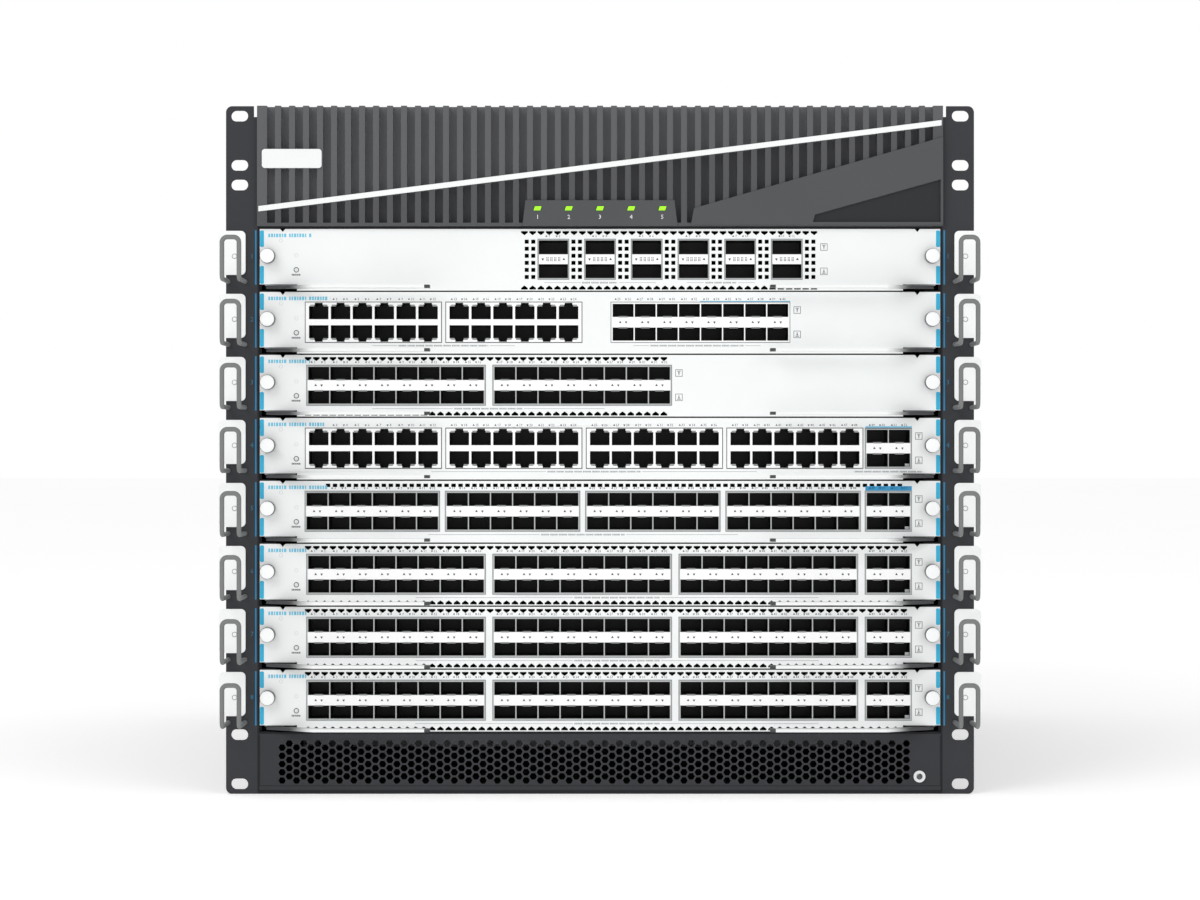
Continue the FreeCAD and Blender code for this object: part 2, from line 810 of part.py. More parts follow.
def build_bezel():
    body = new_body("Bezel")
    outline = front_sketch(body, "BezelOutline", front + bezel_depth)
    rectangle(outline, (-half_width, half_width), (bezel_floor, height))
    pad(body, "BezelPad", outline, bezel_depth + bezel_proud)
    groove = front_sketch(body, "BezelGroove", bezel_front)
    first = -(groove_count - 1) * groove_pitch / 2
    rectangle(
        groove,
        (first - groove_width / 2, first + groove_width / 2),
        (bezel_floor + groove_bottom_rim, height),
    )
    cut_groove = pocket(body, "GroovePocket", groove, groove_depth)
    doc.recompute()
    row_of(body, "GrooveRow", [cut_groove], "X_Axis", groove_pitch, groove_count)
    raised = front_sketch(body, "RaisedPanels", bezel_front + groove_depth)
    polygon(
        raised,
        [
            (-lamp_panel_width / 2, bezel_floor),
            (lamp_panel_width / 2, bezel_floor),
            (lamp_panel_top_width / 2, bezel_floor + lamp_panel_height),
            (-lamp_panel_top_width / 2, bezel_floor + lamp_panel_height),
        ],
    )
    polygon(
        raised,
        [
            (wedge_left, bezel_floor + wedge_bottom),
            (half_width, bezel_floor + wedge_bottom),
            (half_width, bezel_floor + wedge_right_height),
            (wedge_slope_left, bezel_floor + wedge_left_height),
        ],
    )
    pad(body, "PanelPad", raised, groove_depth + panel_raise)
    inset = front_sketch(body, "WedgeInset", panel_front)
    polygon(
        inset,
        [
            (inset_left, bezel_floor + inset_bottom),
            (half_width - inset_right_margin, bezel_floor + inset_bottom),
            (half_width - inset_right_margin, bezel_floor + inset_right_height),
            (inset_slope_left, bezel_floor + inset_left_height),
        ],
    )
    pocket(body, "InsetPocket", inset, inset_depth)
    lens = front_sketch(body, "LensHole", panel_front)
    start = -(lens_count - 1) * lens_pitch / 2
    polygon(lens, lens_outline(start, bezel_floor + lens_level, 0 * lens_width))
    lens_hole = pocket(body, "LensPocket", lens, lens_depth)
    doc.recompute()
    row_of(body, "LensRow", [lens_hole], "X_Axis", lens_pitch, lens_count)
    return body


def build_lenses():
    body = new_body("StatusLenses")
    outline = front_sketch(body, "LensOutline", panel_front + lens_depth)
    start = -(lens_count - 1) * lens_pitch / 2
    polygon(outline, lens_outline(start, bezel_floor + lens_level, lens_clearance))
    lens = pad(body, "LensPad", outline, lens_depth + lens_proud)
    doc.recompute()
    row_of(body, "LensPattern", [lens], "X_Axis", lens_pitch, lens_count)
    return body


def build_stripe():
    body = new_body("BezelStripe")
    outline = front_sketch(body, "StripeOutline", bezel_front)
    reach = half_width - stripe_margin
    left = bezel_floor + stripe_left_level
    right = bezel_floor + stripe_right_level
    half = stripe_width / 2
    corners = [(-reach, left - half), (reach, right - half)]
    polygon(outline, corners + [(reach, right + half), (-reach, left + half)])
    pad(body, "StripePad", outline, stripe_proud)
    return body


def build_badge():
    body = new_body("BadgePlate")
    outline = front_sketch(body, "BadgeOutline", bezel_front)
    left = badge_margin - half_width
    low = bezel_floor + badge_level - badge_height / 2
    rectangle(outline, (left, left + badge_width), (low, low + badge_height))
    plate = pad(body, "BadgePad", outline, badge_thickness)
    along = FreeCAD.Vector(0, 1, 0)
    round_edges(body, "BadgeCorners", plate, badge_corner, along, lambda place: True)
    return body


node(build_bezel(), "front_bezel")
node(build_stripe(), "bezel_stripe")
node(build_badge(), "badge_plate")
node(build_lenses(), "status_lenses")

# ---- intake grille with hexagonal holes, and the grounding socket in it ----


def hexagon(x, z, radius):
    """Corners of a hole, which run the opposite way to the sheet's own outline."""
    corners = [math.radians(-60 * corner) for corner in range(6)]
    return [(x + radius * math.cos(turn), z + radius * math.sin(turn)) for turn in corners]


def wire_through(points, y):
    corners = [FreeCAD.Vector(x, y, z) for x, z in points]
    return Part.makePolygon(corners + corners[:1])


def build_grille():
    """Perforated sheet between the base and the lower deck.

    It is one extruded face, because hundreds of patterned pockets would take minutes."""
    y = front.value
    half = inner_half.value
    low = base_thickness.value
    high = low + intake_height.value
    wires = [wire_through([(-half, low), (half, low), (half, high), (-half, high)], y)]
    columns = whole(hex_columns)
    rows = whole(hex_rows)
    for column in range(columns):
        x = hex_offset.value + (column - (columns - 1) / 2) * hex_column_pitch.value
        stagger = (0.25 if column % 2 else -0.25) * hex_row_pitch.value
        for row in range(rows):
            z = (low + high) / 2 + stagger + (row - (rows - 1) / 2) * hex_row_pitch.value
            wires.append(wire_through(hexagon(x, z, hex_width.value / 2), y))
    middle = FreeCAD.Vector(socket_offset.value, y, socket_level.value)
    bush_hole = Part.makeCircle(socket_barrel_radius.value, middle, FreeCAD.Vector(0, 1, 0))
    wires.append(Part.Wire(bush_hole))
    face = Part.Face(wires)
    grille = doc.addObject("Part::Feature", "IntakeGrille")
    grille.Shape = face.extrude(FreeCAD.Vector(0, grille_thickness.value, 0))
    return grille


def build_socket():
    body = new_body("GroundSocket")
    zero = 0 * height
    profile = new_sketch(body, "SocketProfile", "YZ_Plane", zero)
    outer_face = -socket_flange_height
    polygon(
        profile,
        [
            (outer_face, socket_bore_radius),
            (outer_face, socket_flange_radius),
            (zero, socket_flange_radius),
            (zero, socket_barrel_radius),
            (outer_face + socket_length, socket_barrel_radius),
            (outer_face + socket_length, zero),
            (outer_face + socket_bore_depth, zero),
            (outer_face + socket_bore_depth, socket_bore_radius),
        ],
    )
    turned = body.newObject("PartDesign::Revolution", "SocketTurned")
    turned.Profile = profile
    turned.ReferenceAxis = (origin_part(body, "Y_Axis"), [""])
    turned.Angle = 360
    return seat(body, socket_offset, front, socket_level)


node(build_grille(), "intake_grille")
node(build_socket(), "esd_socket")

# ---- cable guides: a plate on the ear and a hook of bent wire for every slot ----


def build_guide():
    """One right-hand guide, with the knob's height as its own zero."""
    body = new_body("GuidePlate")
    outline = front_sketch(body, "GuidePlateOutline", 0 * height)
    rectangle(
        outline,
        (guide_plate_inner, guide_plate_outer),
        (-guide_plate_below, guide_plate_above),
    )
    plate = pad(body, "GuidePlatePad", outline, guide_plate_thickness)
    along = FreeCAD.Vector(0, 1, 0)
    corner = guide_plate_corner
    round_edges(body, "GuidePlateCorners", plate, corner, along, lambda place: True)

    wire = guide_wire_radius
    bend = guide_bend
    left = guide_centre - guide_width / 2 + wire
    right = guide_centre + guide_width / 2 - wire
    top = guide_above - wire
    bottom = wire - guide_below
    out = wire - guide_reach
    toward_front = FreeCAD.Rotation(FreeCAD.Vector(1, 0, 0), 90)
    parts = []
    for side, x in (("Left", left), ("Right", right)):
        leg_length = -(out + bend)
        parts.append(rod("GuideLeg" + side, wire, leg_length, (x, 0 * wire, bottom), toward_front))
        parts.append(
            quarter_bend(
                "GuideHeel" + side,
                bend,
                wire,
                (x, out + bend, bottom + bend),
                FreeCAD.Rotation(FreeCAD.Vector(0, -1, 0), FreeCAD.Vector(0, 0, -1), ORIGIN, "XYZ"),
            )
        )
        parts.append(rod("GuideRise" + side, wire, top - bottom - 2 * bend, (x, out, bottom + bend)))
    left_turn = FreeCAD.Rotation(FreeCAD.Vector(-1, 0, 0), FreeCAD.Vector(0, 0, 1), ORIGIN, "XYZ")
    right_turn = FreeCAD.Rotation(FreeCAD.Vector(1, 0, 0), FreeCAD.Vector(0, 0, 1), ORIGIN, "XYZ")
    parts.append(quarter_bend("GuideTopLeft", bend, wire, (left + bend, out, top - bend), left_turn))
    parts.append(quarter_bend("GuideTopRight", bend, wire, (right - bend, out, top - bend), right_turn))
    bridge_length = right - left - 2 * bend
    parts.append(rod("GuideBridge", wire, bridge_length, (left + bend, out, top), ALONG_X))
    hook = fuse("GuideHook", parts)
    return group("CableGuide", [body, hook])


guide = build_guide()
right_guide_parts = []
for slot in range(1, whole(slot_count) + 1):
    level = slot_centre(slot) + knob_rise
    right_guide_parts.append(copy_of("CableGuide%d" % slot, guide, y=front, z=level))
right_guides = group("CableGuidesRight", right_guide_parts)
left_guides = mirror_of("CableGuidesLeft", right_guides)
node(group("CableGuides", [left_guides, right_guides]), "cable_guides")

# ---- port blocks: a body with two rows of blind openings, the lower row upside down ----


def build_port_block(name, columns, pitch, width, opening):
    """Opening is the outline of one upper port around x = 0, above the block's middle line."""
    body = new_body(name)
    outline = front_sketch(body, name + "Outline", block_depth - block_proud)
    rectangle(outline, (-width / 2, width / 2), (-block_height / 2, block_height / 2))
    pad(body, name + "Pad", outline, block_depth)
    port = front_sketch(body, name + "Port", -block_proud)
    first = -(columns - 1) * pitch / 2
    polygon(port, [(x + first, z) for x, z in opening])
    cavity = pocket(body, name + "Cavity", port, port_depth)
    doc.recompute()
    repeat = body.newObject("PartDesign::MultiTransform", name + "Repeat")
    repeat.Originals = [cavity]
    across = body.newObject("PartDesign::LinearPattern", name + "Across")
    across.Direction = (origin_part(body, "X_Axis"), [""])
    across.Mode = "Spacing"
    tie(across, "Offset", pitch)
    across.Occurrences = columns
    below = body.newObject("PartDesign::Mirrored", name + "Below")
    below.MirrorPlane = (origin_part(body, "XY_Plane"), [""])
    repeat.Transformations = [across, below]
    body.Tip = repeat
    return body


def copper_opening():
    """Square jack opening with a stepped latch notch on top."""
    low = copper_half_band
    half = copper_width / 2
    shoulder = copper_shoulder_width / 2
    latch = copper_latch_width / 2
    return [
        (-half, low),
        (half, low),
        (half, low + copper_height),
        (shoulder, low + copper_height),
        (shoulder, low + copper_shoulder_height),
        (latch, low + copper_shoulder_height),
        (latch, low + copper_latch_height),
        (-latch, low + copper_latch_height),
        (-latch, low + copper_shoulder_height),
        (-shoulder, low + copper_shoulder_height),
        (-shoulder, low + copper_height),
        (-half, low + copper_height),
    ]


def plain_opening(width, low, tall):
    half = width / 2
    return [(-half, low), (half, low), (half, low + tall), (-half, low + tall)]


def block_width(columns, pitch, opening_width, rim):
    return (columns - 1) * pitch + opening_width + 2 * rim


copper_block_width = block_width(6, copper_pitch, copper_width, copper_side_rim)
fibre_eight_width = block_width(8, fibre_pitch, fibre_width, fibre_side_rim)
fibre_six_width = block_width(6, fibre_pitch, fibre_width, fibre_side_rim)
fibre_two_width = block_width(2, fibre_pitch, fibre_width, fibre_side_rim)
wide_block_width = wide_port_width + 2 * wide_port_side_rim
fibre_opening = plain_opening(fibre_width, fibre_half_band, fibre_height)
wide_opening = plain_opening(wide_port_width, wide_port_half_band, wide_port_height)

copper_block = build_port_block(
    "CopperBlock", 6, copper_pitch, copper_block_width, copper_opening()
)
fibre_eight = build_port_block("FibreEight", 8, fibre_pitch, fibre_eight_width, fibre_opening)
fibre_six = build_port_block("FibreSix", 6, fibre_pitch, fibre_six_width, fibre_opening)
fibre_two = build_port_block("FibreTwo", 2, fibre_pitch, fibre_two_width, fibre_opening)
wide_block = build_port_block("WideBlock", 1, wide_port_pitch, wide_block_width, wide_opening)

# ---- line cards, each in a frame of its own: y = 0 is the faceplate's front, z = 0 its middle ----


def build_plate(name, windows):
    """Faceplate with notched lower corners, screw holes, a lamp hole and port windows."""
    body = new_body(name)
    outline = front_sketch(body, name + "Outline", plate_thickness)
    half = plate_half_width
    tall = plate_half_height
    dent = half - dent_offset
    dent_half = dent_width / 2
    polygon(
        outline,
        [
            (notch_width - half, -tall),
            (half - notch_width, -tall),
            (half - notch_width, notch_height - tall),
            (half, notch_height - tall),
            (half, tall),
            (dent + dent_half, tall),
            (dent, tall - dent_depth),
            (dent - dent_half, tall),
            (dent_half - dent, tall),
            (-dent, tall - dent_depth),
            (-dent - dent_half, tall),
            (-half, tall),
            (-half, notch_height - tall),
            (notch_width - half, notch_height - tall),
        ],
    )
    for side in (-1, 1):
        circle(outline, (side * knob_place, knob_rise), screw_hole_radius)
    circle(outline, (card_lamp_offset - half, -card_lamp_drop), card_lamp_radius)
    for middle, width in windows:
        reach = width / 2 + window_clearance
        low = board_top - window_clearance
        rectangle(
            outline,
            (middle - reach, middle + reach),
            (low, low + block_height + 2 * window_clearance),
        )
    pad(body, name + "Pad", outline, plate_thickness)
    return body


def pointed_vents(first, count):
    """Half-hexagon vents along the faceplate's top edge, and mirrored between its lower notches."""
    outlines = []
    half = vent_width.value / 2
    shoulder = vent_shoulder.value
    tall = vent_height.value
    notch = plate_half_width.value - notch_width.value
    top = plate_half_height.value - vent_top_rim.value
    bottom = vent_bottom_rim.value - plate_half_height.value
    for flat, toward, reach in ((top, -1, half_width.value), (bottom, 1, notch - vent_top_rim.value)):
        for index in range(count):
            x = first.value + index * vent_pitch.value
            if abs(x) + half > reach:
                continue
            outlines.append(
                [
                    (x - half, flat),
                    (x + half, flat),
                    (x + half, flat + toward * shoulder),
                    (x, flat + toward * tall),
                    (x - half, flat + toward * shoulder),
                ]
            )
    return outlines


def slit_vents(first, count):
    outlines = []
    half = slit_width.value / 2
    tall = slit_height.value / 2
    level = slit_level.value
    for index in range(count):
        x = first.value + index * slit_pitch.value
        corners = [(x - half, level - tall), (x + half, level - tall)]
        outlines.append(corners + [(x + half, level + tall), (x - half, level + tall)])
    return outlines


def square_vents():
    """Pairs of columns of square vents on both sides of every wide port."""
    outlines = []
    half = square_width.value / 2
    rows = whole(square_rows)
    for pair in range(7):
        middle = wide_port_first.value + (pair - 0.5) * wide_port_pitch.value
        for side in (-0.5, 0.5):
            x = middle + side * square_pair_pitch.value
            for row in range(rows):
                z = block_rise.value + (row - (rows - 1) / 2) * square_row_pitch.value
                corners = [(x - half, z - half), (x + half, z - half)]
                outlines.append(corners + [(x + half, z + half), (x - half, z + half)])
    return outlines


def build_faceplate(name, blocks, vents):
    windows = [(place, width) for source, place, width in blocks]
    plate = build_plate(name, windows)
    if not vents:
        return plate
    tool = prisms(name + "Vents", vents, -wall, plate_thickness + 2 * wall)
    return cut(name + "Vented", plate, tool)


def row_of_blocks(source, width, first, pitch, count):
    return [(source, first + index * pitch, width) for index in range(count)]


uplink = [(fibre_two, uplink_place, fibre_two_width)]
copper_run = row_of_blocks(
    copper_block, copper_block_width, copper_first, copper_block_pitch, 4
)
fibre_eight_run = row_of_blocks(
    fibre_eight, fibre_eight_width, fibre_eight_first, fibre_eight_pitch, 3
)
wide_blocks = row_of_blocks(wide_block, wide_block_width, wide_port_first, wide_port_pitch, 6)
mixed_blocks = copper_run[:2] + [(fibre_eight, mixed_fibre_place, fibre_eight_width)]
half_fibre_blocks = fibre_eight_run[:2]
copper_blocks = copper_run + uplink
fibre_six_blocks = uplink + row_of_blocks(
    fibre_six, fibre_six_width, fibre_six_first, fibre_six_pitch, 4
)
fibre_eight_blocks = fibre_eight_run + uplink

wide_vents = pointed_vents(wide_port_first - 3.5 * vent_pitch, 36) + square_vents()
fibre_face = build_faceplate("FibreFace", fibre_eight_blocks, pointed_vents(vent_left, 73))
card_kinds = {
    1: (build_faceplate("WideFace", wide_blocks, wide_vents), wide_blocks),
    2: (build_faceplate("MixedFace", mixed_blocks, []), mixed_blocks),
    3: (
        build_faceplate("HalfFibreFace", half_fibre_blocks, pointed_vents(vent_left, 44)),
        half_fibre_blocks,
    ),
    4: (build_faceplate("CopperFace", copper_blocks, []), copper_blocks),
    5: (
        build_faceplate("DenseFibreFace", fibre_six_blocks, slit_vents(slit_left, 83)),
        fibre_six_blocks,
    ),
}
general_card = (fibre_face, fibre_eight_blocks)


def build_bracket():
    """Right-hand lever bracket behind the faceplate: an ear over the lever, with its pivot pin."""
    floor = lever_floor + lever_thickness + bracket_clearance
    outer = pivot_place + lever_boss_radius
    inner = outer - bracket_length
    back = plate_thickness
    ear_plate = block(
        "BracketEar",
        (inner, outer),
        (back, back + bracket_depth),
        (floor, floor + bracket_thickness),
    )
    flange = block(
        "BracketFlange",
        (inner, post_half - board_margin),
        (back, back + bracket_thickness),
        (floor + bracket_thickness, floor + bracket_flange_height),
    )
    pin = rod(
        "BracketPin",
        pivot_radius,
        lever_thickness + bracket_clearance + bracket_thickness,
        (pivot_place, lever_pivot_depth, lever_floor),
    )
    return fuse("LeverBracket", [ear_plate, flange, pin])


def build_heat_sink():
    body = new_body("HeatSink")
    base = new_sketch(body, "SinkBase", "XY_Plane", 0 * height)
    half = sink_width / 2
    rectangle(base, (-half, half), (0 * half, sink_depth))
    pad(body, "SinkBasePad", base, sink_base)
    fin = new_sketch(body, "SinkFin", "XY_Plane", sink_base)
    rectangle(fin, (-half, sink_fin_thickness - half), (0 * half, sink_depth))
    blade = pad(body, "SinkFinPad", fin, sink_height - sink_base)
    doc.recompute()
    pitch = (sink_width - sink_fin_thickness) / (sink_fins - 1)
    row_of(body, "SinkFinRow", [blade], "X_Axis", pitch, sink_fins)
    return body


board = block("Board", (-board_half, board_half), (board_start, board_end), (board_floor, board_top))
connector = block(
    "Connector",
    (-connector_width / 2, connector_width / 2),
    (connector_end - connector_depth, connector_end),
    (board_top, board_top + connector_height),
)
card_lamp = rod(
    "CardLamp",
    card_lamp_radius,
    plate_thickness + block_proud,
    (card_lamp_offset - plate_half_width, -block_proud, -card_lamp_drop),
    ALONG_Y,
)
heat_sink = build_heat_sink()
right_bracket = build_bracket()
left_bracket = mirror_of("LeverBracketLeft", right_bracket)


def build_card(slot):
    face, blocks = card_kinds.get(slot, general_card)
    name = "Card%d" % slot
    parts = [copy_of(name + "Face", face)]
    for item, label in (
        (board, "Board"),
        (connector, "Connector"),
        (card_lamp, "Lamp"),
        (left_bracket, "BracketLeft"),
        (right_bracket, "BracketRight"),
    ):
        parts.append(copy_of(name + label, item))
    for index, (source, place, width) in enumerate(blocks):
        parts.append(copy_of(name + "Ports%d" % index, source, x=place, z=block_rise))
    for side in (-1, 1):
        label = name + ("SinkLeft" if side < 0 else "SinkRight")
        place = side * sink_spacing / 2
        parts.append(copy_of(label, heat_sink, x=place, y=sink_start, z=board_top))
    card = group(name, parts)
    return seat(card, y=front, z=slot_centre(slot))


def build_lever():
    """Right-hand ejector lever: a flat bar that runs along the faceplate and bends in to a pivot."""
    body = new_body("Lever")
    shape = new_sketch(body, "LeverShape", "XY_Plane", lever_floor)
    pivot_y = lever_pivot_depth
    neck_outer = pivot_place + lever_neck
    neck_inner = pivot_place - lever_neck
    tip = pivot_place - lever_length
    slope_front = pivot_place - lever_slope
    slope_back = slope_front - lever_width / 2
    polygon(
        shape,
        [
            (neck_outer, pivot_y),
            (neck_outer, plate_thickness / 2),
            (slope_front, -lever_reach),
            (tip, -lever_reach),
            (tip, lever_width - lever_reach),
            (slope_back, lever_width - lever_reach),
            (neck_inner, lever_width / 2),
            (neck_inner, pivot_y),
        ],
    )
    pad(body, "LeverPad", shape, lever_thickness)
    boss = new_sketch(body, "LeverBoss", "XY_Plane", lever_floor)
    circle(boss, (pivot_place, pivot_y), lever_boss_radius)
    pad(body, "BossPad", boss, lever_thickness)
    bore = new_sketch(body, "LeverBore", "XY_Plane", lever_floor + lever_thickness)
    circle(bore, (pivot_place, pivot_y), pivot_radius + running_fit)
    pocket(body, "BorePocket", bore, lever_thickness)
    return body


def build_thumbscrew():
    """Captive thumbscrew at the right-hand end of a card, turned about its own Y axis."""
    body = new_body("Thumbscrew")
    zero = 0 * height
    profile = new_sketch(body, "ScrewProfile", "YZ_Plane", zero)
    seat_gap = -running_fit
    head_back = seat_gap - knob_neck_height
    head_front = seat_gap - knob_height
    polygon(
        profile,
        [
            (head_front, zero),
            (head_front, knob_radius - knob_edge),
            (head_front + knob_edge, knob_radius),
            (head_back, knob_radius),
            (head_back, knob_neck_radius),
            (seat_gap, knob_neck_radius),
            (seat_gap, shank_radius),
            (plate_thickness + post_thickness + shank_reach, shank_radius),
            (plate_thickness + post_thickness + shank_reach, zero),
        ],
    )
    turned = body.newObject("PartDesign::Revolution", "ScrewTurned")
    turned.Profile = profile
    turned.ReferenceAxis = (origin_part(body, "Y_Axis"), [""])
    turned.Angle = 360
    return body


right_lever = build_lever()
left_lever = mirror_of("LeverLeft", right_lever)
thumbscrew = build_thumbscrew()

for slot in range(1, whole(slot_count) + 1):
    level = slot_centre(slot)
    node(build_card(slot), "line_card_%d" % slot)
    for side, lever, place in (("left", left_lever, -knob_place), ("right", right_lever, knob_place)):
        name = side.capitalize() + str(slot)
        swing = copy_of("Lever" + name, lever, y=front, z=level)
        node(group("LeverNode" + name, [swing]), "lever_%s_%d" % (side, slot))
        screw = copy_of("Screw" + name, thumbscrew, x=place, y=front, z=level + knob_rise)
        node(group("ScrewNode" + name, [screw]), "thumbscrew_%s_%d" % (side, slot))

# ---- rear: fan tray with two rotors, two power supplies, two control modules ----

bay_half = inner_half - module_clearance
fan_level = (slot_floor + slot_ceiling) / 2
tray_floor = slot_floor + module_clearance
tray_ceiling = slot_ceiling - module_clearance
tray_front = rear - tray_depth
duct_front = rear - tray_wall - fan_duct_depth
motor_front = rear - tray_wall - motor_depth
rotor_back = motor_front - rotor_gap


def build_handle(name, x, z):
    """A square-section handle that stands out from a module's rear face."""
    half = handle_width / 2
    outer = block(
        name + "Outer",
        (x - half, x + half),
        (rear, rear + handle_reach),
        (z - handle_bar / 2, z + handle_bar / 2),
    )
    inner = block(
        name + "Gap",
        (x - half + handle_bar, x + half - handle_bar),
        (rear, rear + handle_reach - handle_bar),
        (z - handle_bar, z + handle_bar),
    )
    return cut(name, outer, inner)


def build_fan_mount(name, x):
    """A duct, and in it a motor with its shaft on struts behind a wire guard, for one fan."""
    duct_place = (x, duct_front, fan_level)
    outer_radius = fan_opening_radius + fan_duct_wall
    outer = rod(name + "DuctOuter", outer_radius, fan_duct_depth, duct_place, ALONG_Y)
    inner = rod(name + "DuctInner", fan_opening_radius, fan_duct_depth, duct_place, ALONG_Y)
    parts = [rod(name + "Motor", motor_radius, motor_depth, (x, motor_front, fan_level), ALONG_Y)]
    shaft_length = rotor_gap + rotor_depth - rotor_cap - shaft_clearance
    shaft_start = motor_front - shaft_length
    parts.append(rod(name + "Shaft", shaft_radius, shaft_length, (x, shaft_start, fan_level), ALONG_Y))
    reach = fan_opening_radius + fan_duct_wall / 2
    strut_depth = (rear - tray_wall - strut_width / 2, rear - tray_wall)
    half = strut_width / 2
    parts.append(
        block(name + "StrutAcross", (x - reach, x + reach), strut_depth, (fan_level - half, fan_level + half))
    )
    parts.append(
        block(name + "StrutUp", (x - half, x + half), strut_depth, (fan_level - reach, fan_level + reach))
    )
    for ring_number in range(1, 4):
        ring = doc.addObject("Part::Torus", name + "Ring%d" % ring_number)
        ring.Placement = FreeCAD.Placement(ORIGIN, ALONG_Y)
        tie(ring, "Radius1", motor_radius + (ring_number - 0.35) * guard_ring_step)
        tie(ring, "Radius2", guard_wire_radius)
        parts.append(seat(ring, x, rear - tray_wall, fan_level))
    room = rod(name + "Room", fan_opening_radius, tray_depth, (x, tray_front, fan_level), ALONG_Y)
    carrier = doc.addObject("Part::MultiCommon", name + "Carrier")
    carrier.Shapes = [fuse(name + "Parts", parts), room]
    return [cut(name + "Duct", outer, inner), carrier]


def build_fan_tray():
    sides = (-bay_half, bay_half)
    between = (tray_wall - bay_half, bay_half - tray_wall)
    depth = (tray_front, rear - tray_wall)
    levels = (tray_floor + tray_wall, tray_ceiling - tray_wall)
    back = block("TrayBack", sides, (rear - tray_wall, rear), (tray_floor, tray_ceiling))
    parts = [
        block("TrayFloor", sides, depth, (tray_floor, levels[0])),
        block("TrayRoof", sides, depth, (levels[1], tray_ceiling)),
        block("TrayLeft", (sides[0], between[0]), depth, levels),
        block("TrayRight", (between[1], sides[1]), depth, levels),
    ]
    openings = [
        rod(
            "FanOpening" + name,
            fan_opening_radius,
            tray_wall,
            (x, rear - tray_wall, fan_level),
            ALONG_Y,
        )
        for name, x in (("Left", -fan_offset), ("Right", fan_offset))
    ]
    parts.append(cut("TrayPanel", back, fuse("FanOpenings", openings)))
    parts += build_fan_mount("FanLeft", -fan_offset)
    parts += build_fan_mount("FanRight", fan_offset)
    parts.append(build_handle("TrayHandle", 0 * rear, tray_ceiling - handle_reach))
    return group("FanTray", parts)


def build_rotor():
    """Impeller around its own Y axis: a cup hub with a bore, and twisted flat blades."""
    zero = 0 * height
    hub = rod("RotorHub", rotor_hub_radius, rotor_depth, (zero, -rotor_depth, zero), ALONG_Y)
    bore = rod(
        "RotorBore",
        shaft_radius + running_fit,
        rotor_depth - rotor_cap,
        (zero, rotor_cap - rotor_depth, zero),
        ALONG_Y,
    )
    blades = []
    angle = math.radians(blade_pitch_angle.value)
    for index in range(whole(blade_count)):
        blade = block(
            "Blade%d" % index,
            (rotor_hub_radius - blade_thickness, rotor_radius),
            (-blade_chord / 2, blade_chord / 2),
            (-blade_thickness / 2, blade_thickness / 2),
        )
        pitched = doc.addObject("Part::Compound", "BladePitched%d" % index)
        pitched.Links = [blade]
        turn = FreeCAD.Rotation(FreeCAD.Vector(0, 1, 0), 360 * index / whole(blade_count))
        pitch = FreeCAD.Rotation(FreeCAD.Vector(1, 0, 0), 90 - math.degrees(angle))
        pitched.Placement = FreeCAD.Placement(ORIGIN, turn.multiply(pitch))
        blades.append(seat(pitched, y=-rotor_depth / 2))
    band = rod("BladeBand", rotor_radius, rotor_depth, (zero, -rotor_depth, zero), ALONG_Y)
    swept = doc.addObject("Part::MultiCommon", "BladesTrimmed")
    swept.Shapes = [fuse("BladeSet", blades), band]
    return cut("Rotor", fuse("RotorSolid", [hub, swept]), bore)


def build_supply(name, x):
    """One power supply around its own middle: a case with a mains inlet and exhaust slits."""
    half = (inner_half - 2 * module_clearance) / 2 - module_clearance / 2
    low = base_thickness + module_clearance
    high = base_thickness + intake_height - module_clearance
    middle = (low + high) / 2
    case = block(name + "Case", (x - half, x + half), (rear - supply_depth, rear), (low, high))
    inlet_middle = x + inlet_offset
    inlet = block(
        name + "Inlet",
        (inlet_middle - inlet_width / 2, inlet_middle + inlet_width / 2),
        (rear - inlet_depth, rear),
        (middle - inlet_height / 2, middle + inlet_height / 2),
    )
    cuts = [inlet]
    for index in range(8):
        left = x - half + (index + 1.5) * exhaust_pitch
        cuts.append(
            block(
                name + "Slit%d" % index,
                (left, left + exhaust_width),
                (rear - exhaust_depth, rear),
                (middle - exhaust_height / 2, middle + exhaust_height / 2),
            )
        )
    body = cut(name + "Body", case, fuse(name + "Cuts", cuts))
    return group(name, [body, build_handle(name + "Handle", x, middle)])


def build_control(name, x):
    """One control module: a case with two management jacks and a row of slits."""
    half = (inner_half - 2 * module_clearance) / 2 - module_clearance / 2
    low = bezel_floor + module_clearance
    high = cover_floor - module_clearance
    middle = (low + high) / 2
    case = block(name + "Case", (x - half, x + half), (rear - control_depth, rear), (low, high))
    cuts = []
    for index in range(2):
        left = x + half - (index + 1.5) * 1.5 * copper_width
        cuts.append(
            block(
                name + "Jack%d" % index,
                (left, left + copper_width),
                (rear - port_depth, rear),
                (middle - copper_latch_height / 2, middle + copper_latch_height / 2),
            )
        )
    for index in range(8):
        left = x - half + (index + 1.5) * exhaust_pitch
        cuts.append(
            block(
                name + "Slit%d" % index,
                (left, left + exhaust_width),
                (rear - exhaust_depth, rear),
                (middle - exhaust_height, middle + exhaust_height),
            )
        )
    body = cut(name + "Body", case, fuse(name + "Cuts", cuts))
    return group(name, [body, build_handle(name + "Handle", x, middle)])


node(build_fan_tray(), "fan_tray")
rotor = build_rotor()
for side, x in (("left", -fan_offset), ("right", fan_offset)):
    turning = copy_of("Rotor" + side.capitalize(), rotor, x=x, y=rotor_back, z=fan_level)
    node(group("RotorNode" + side.capitalize(), [turning]), "fan_rotor_" + side)
module_place = inner_half / 2
for side, x in (("left", -module_place), ("right", module_place)):
    node(build_supply("Supply" + side.capitalize(), x), "power_supply_" + side)
    node(build_control("Control" + side.capitalize(), x), "control_module_" + side)

# ---- check the document and write one STEP file per sub-part ----

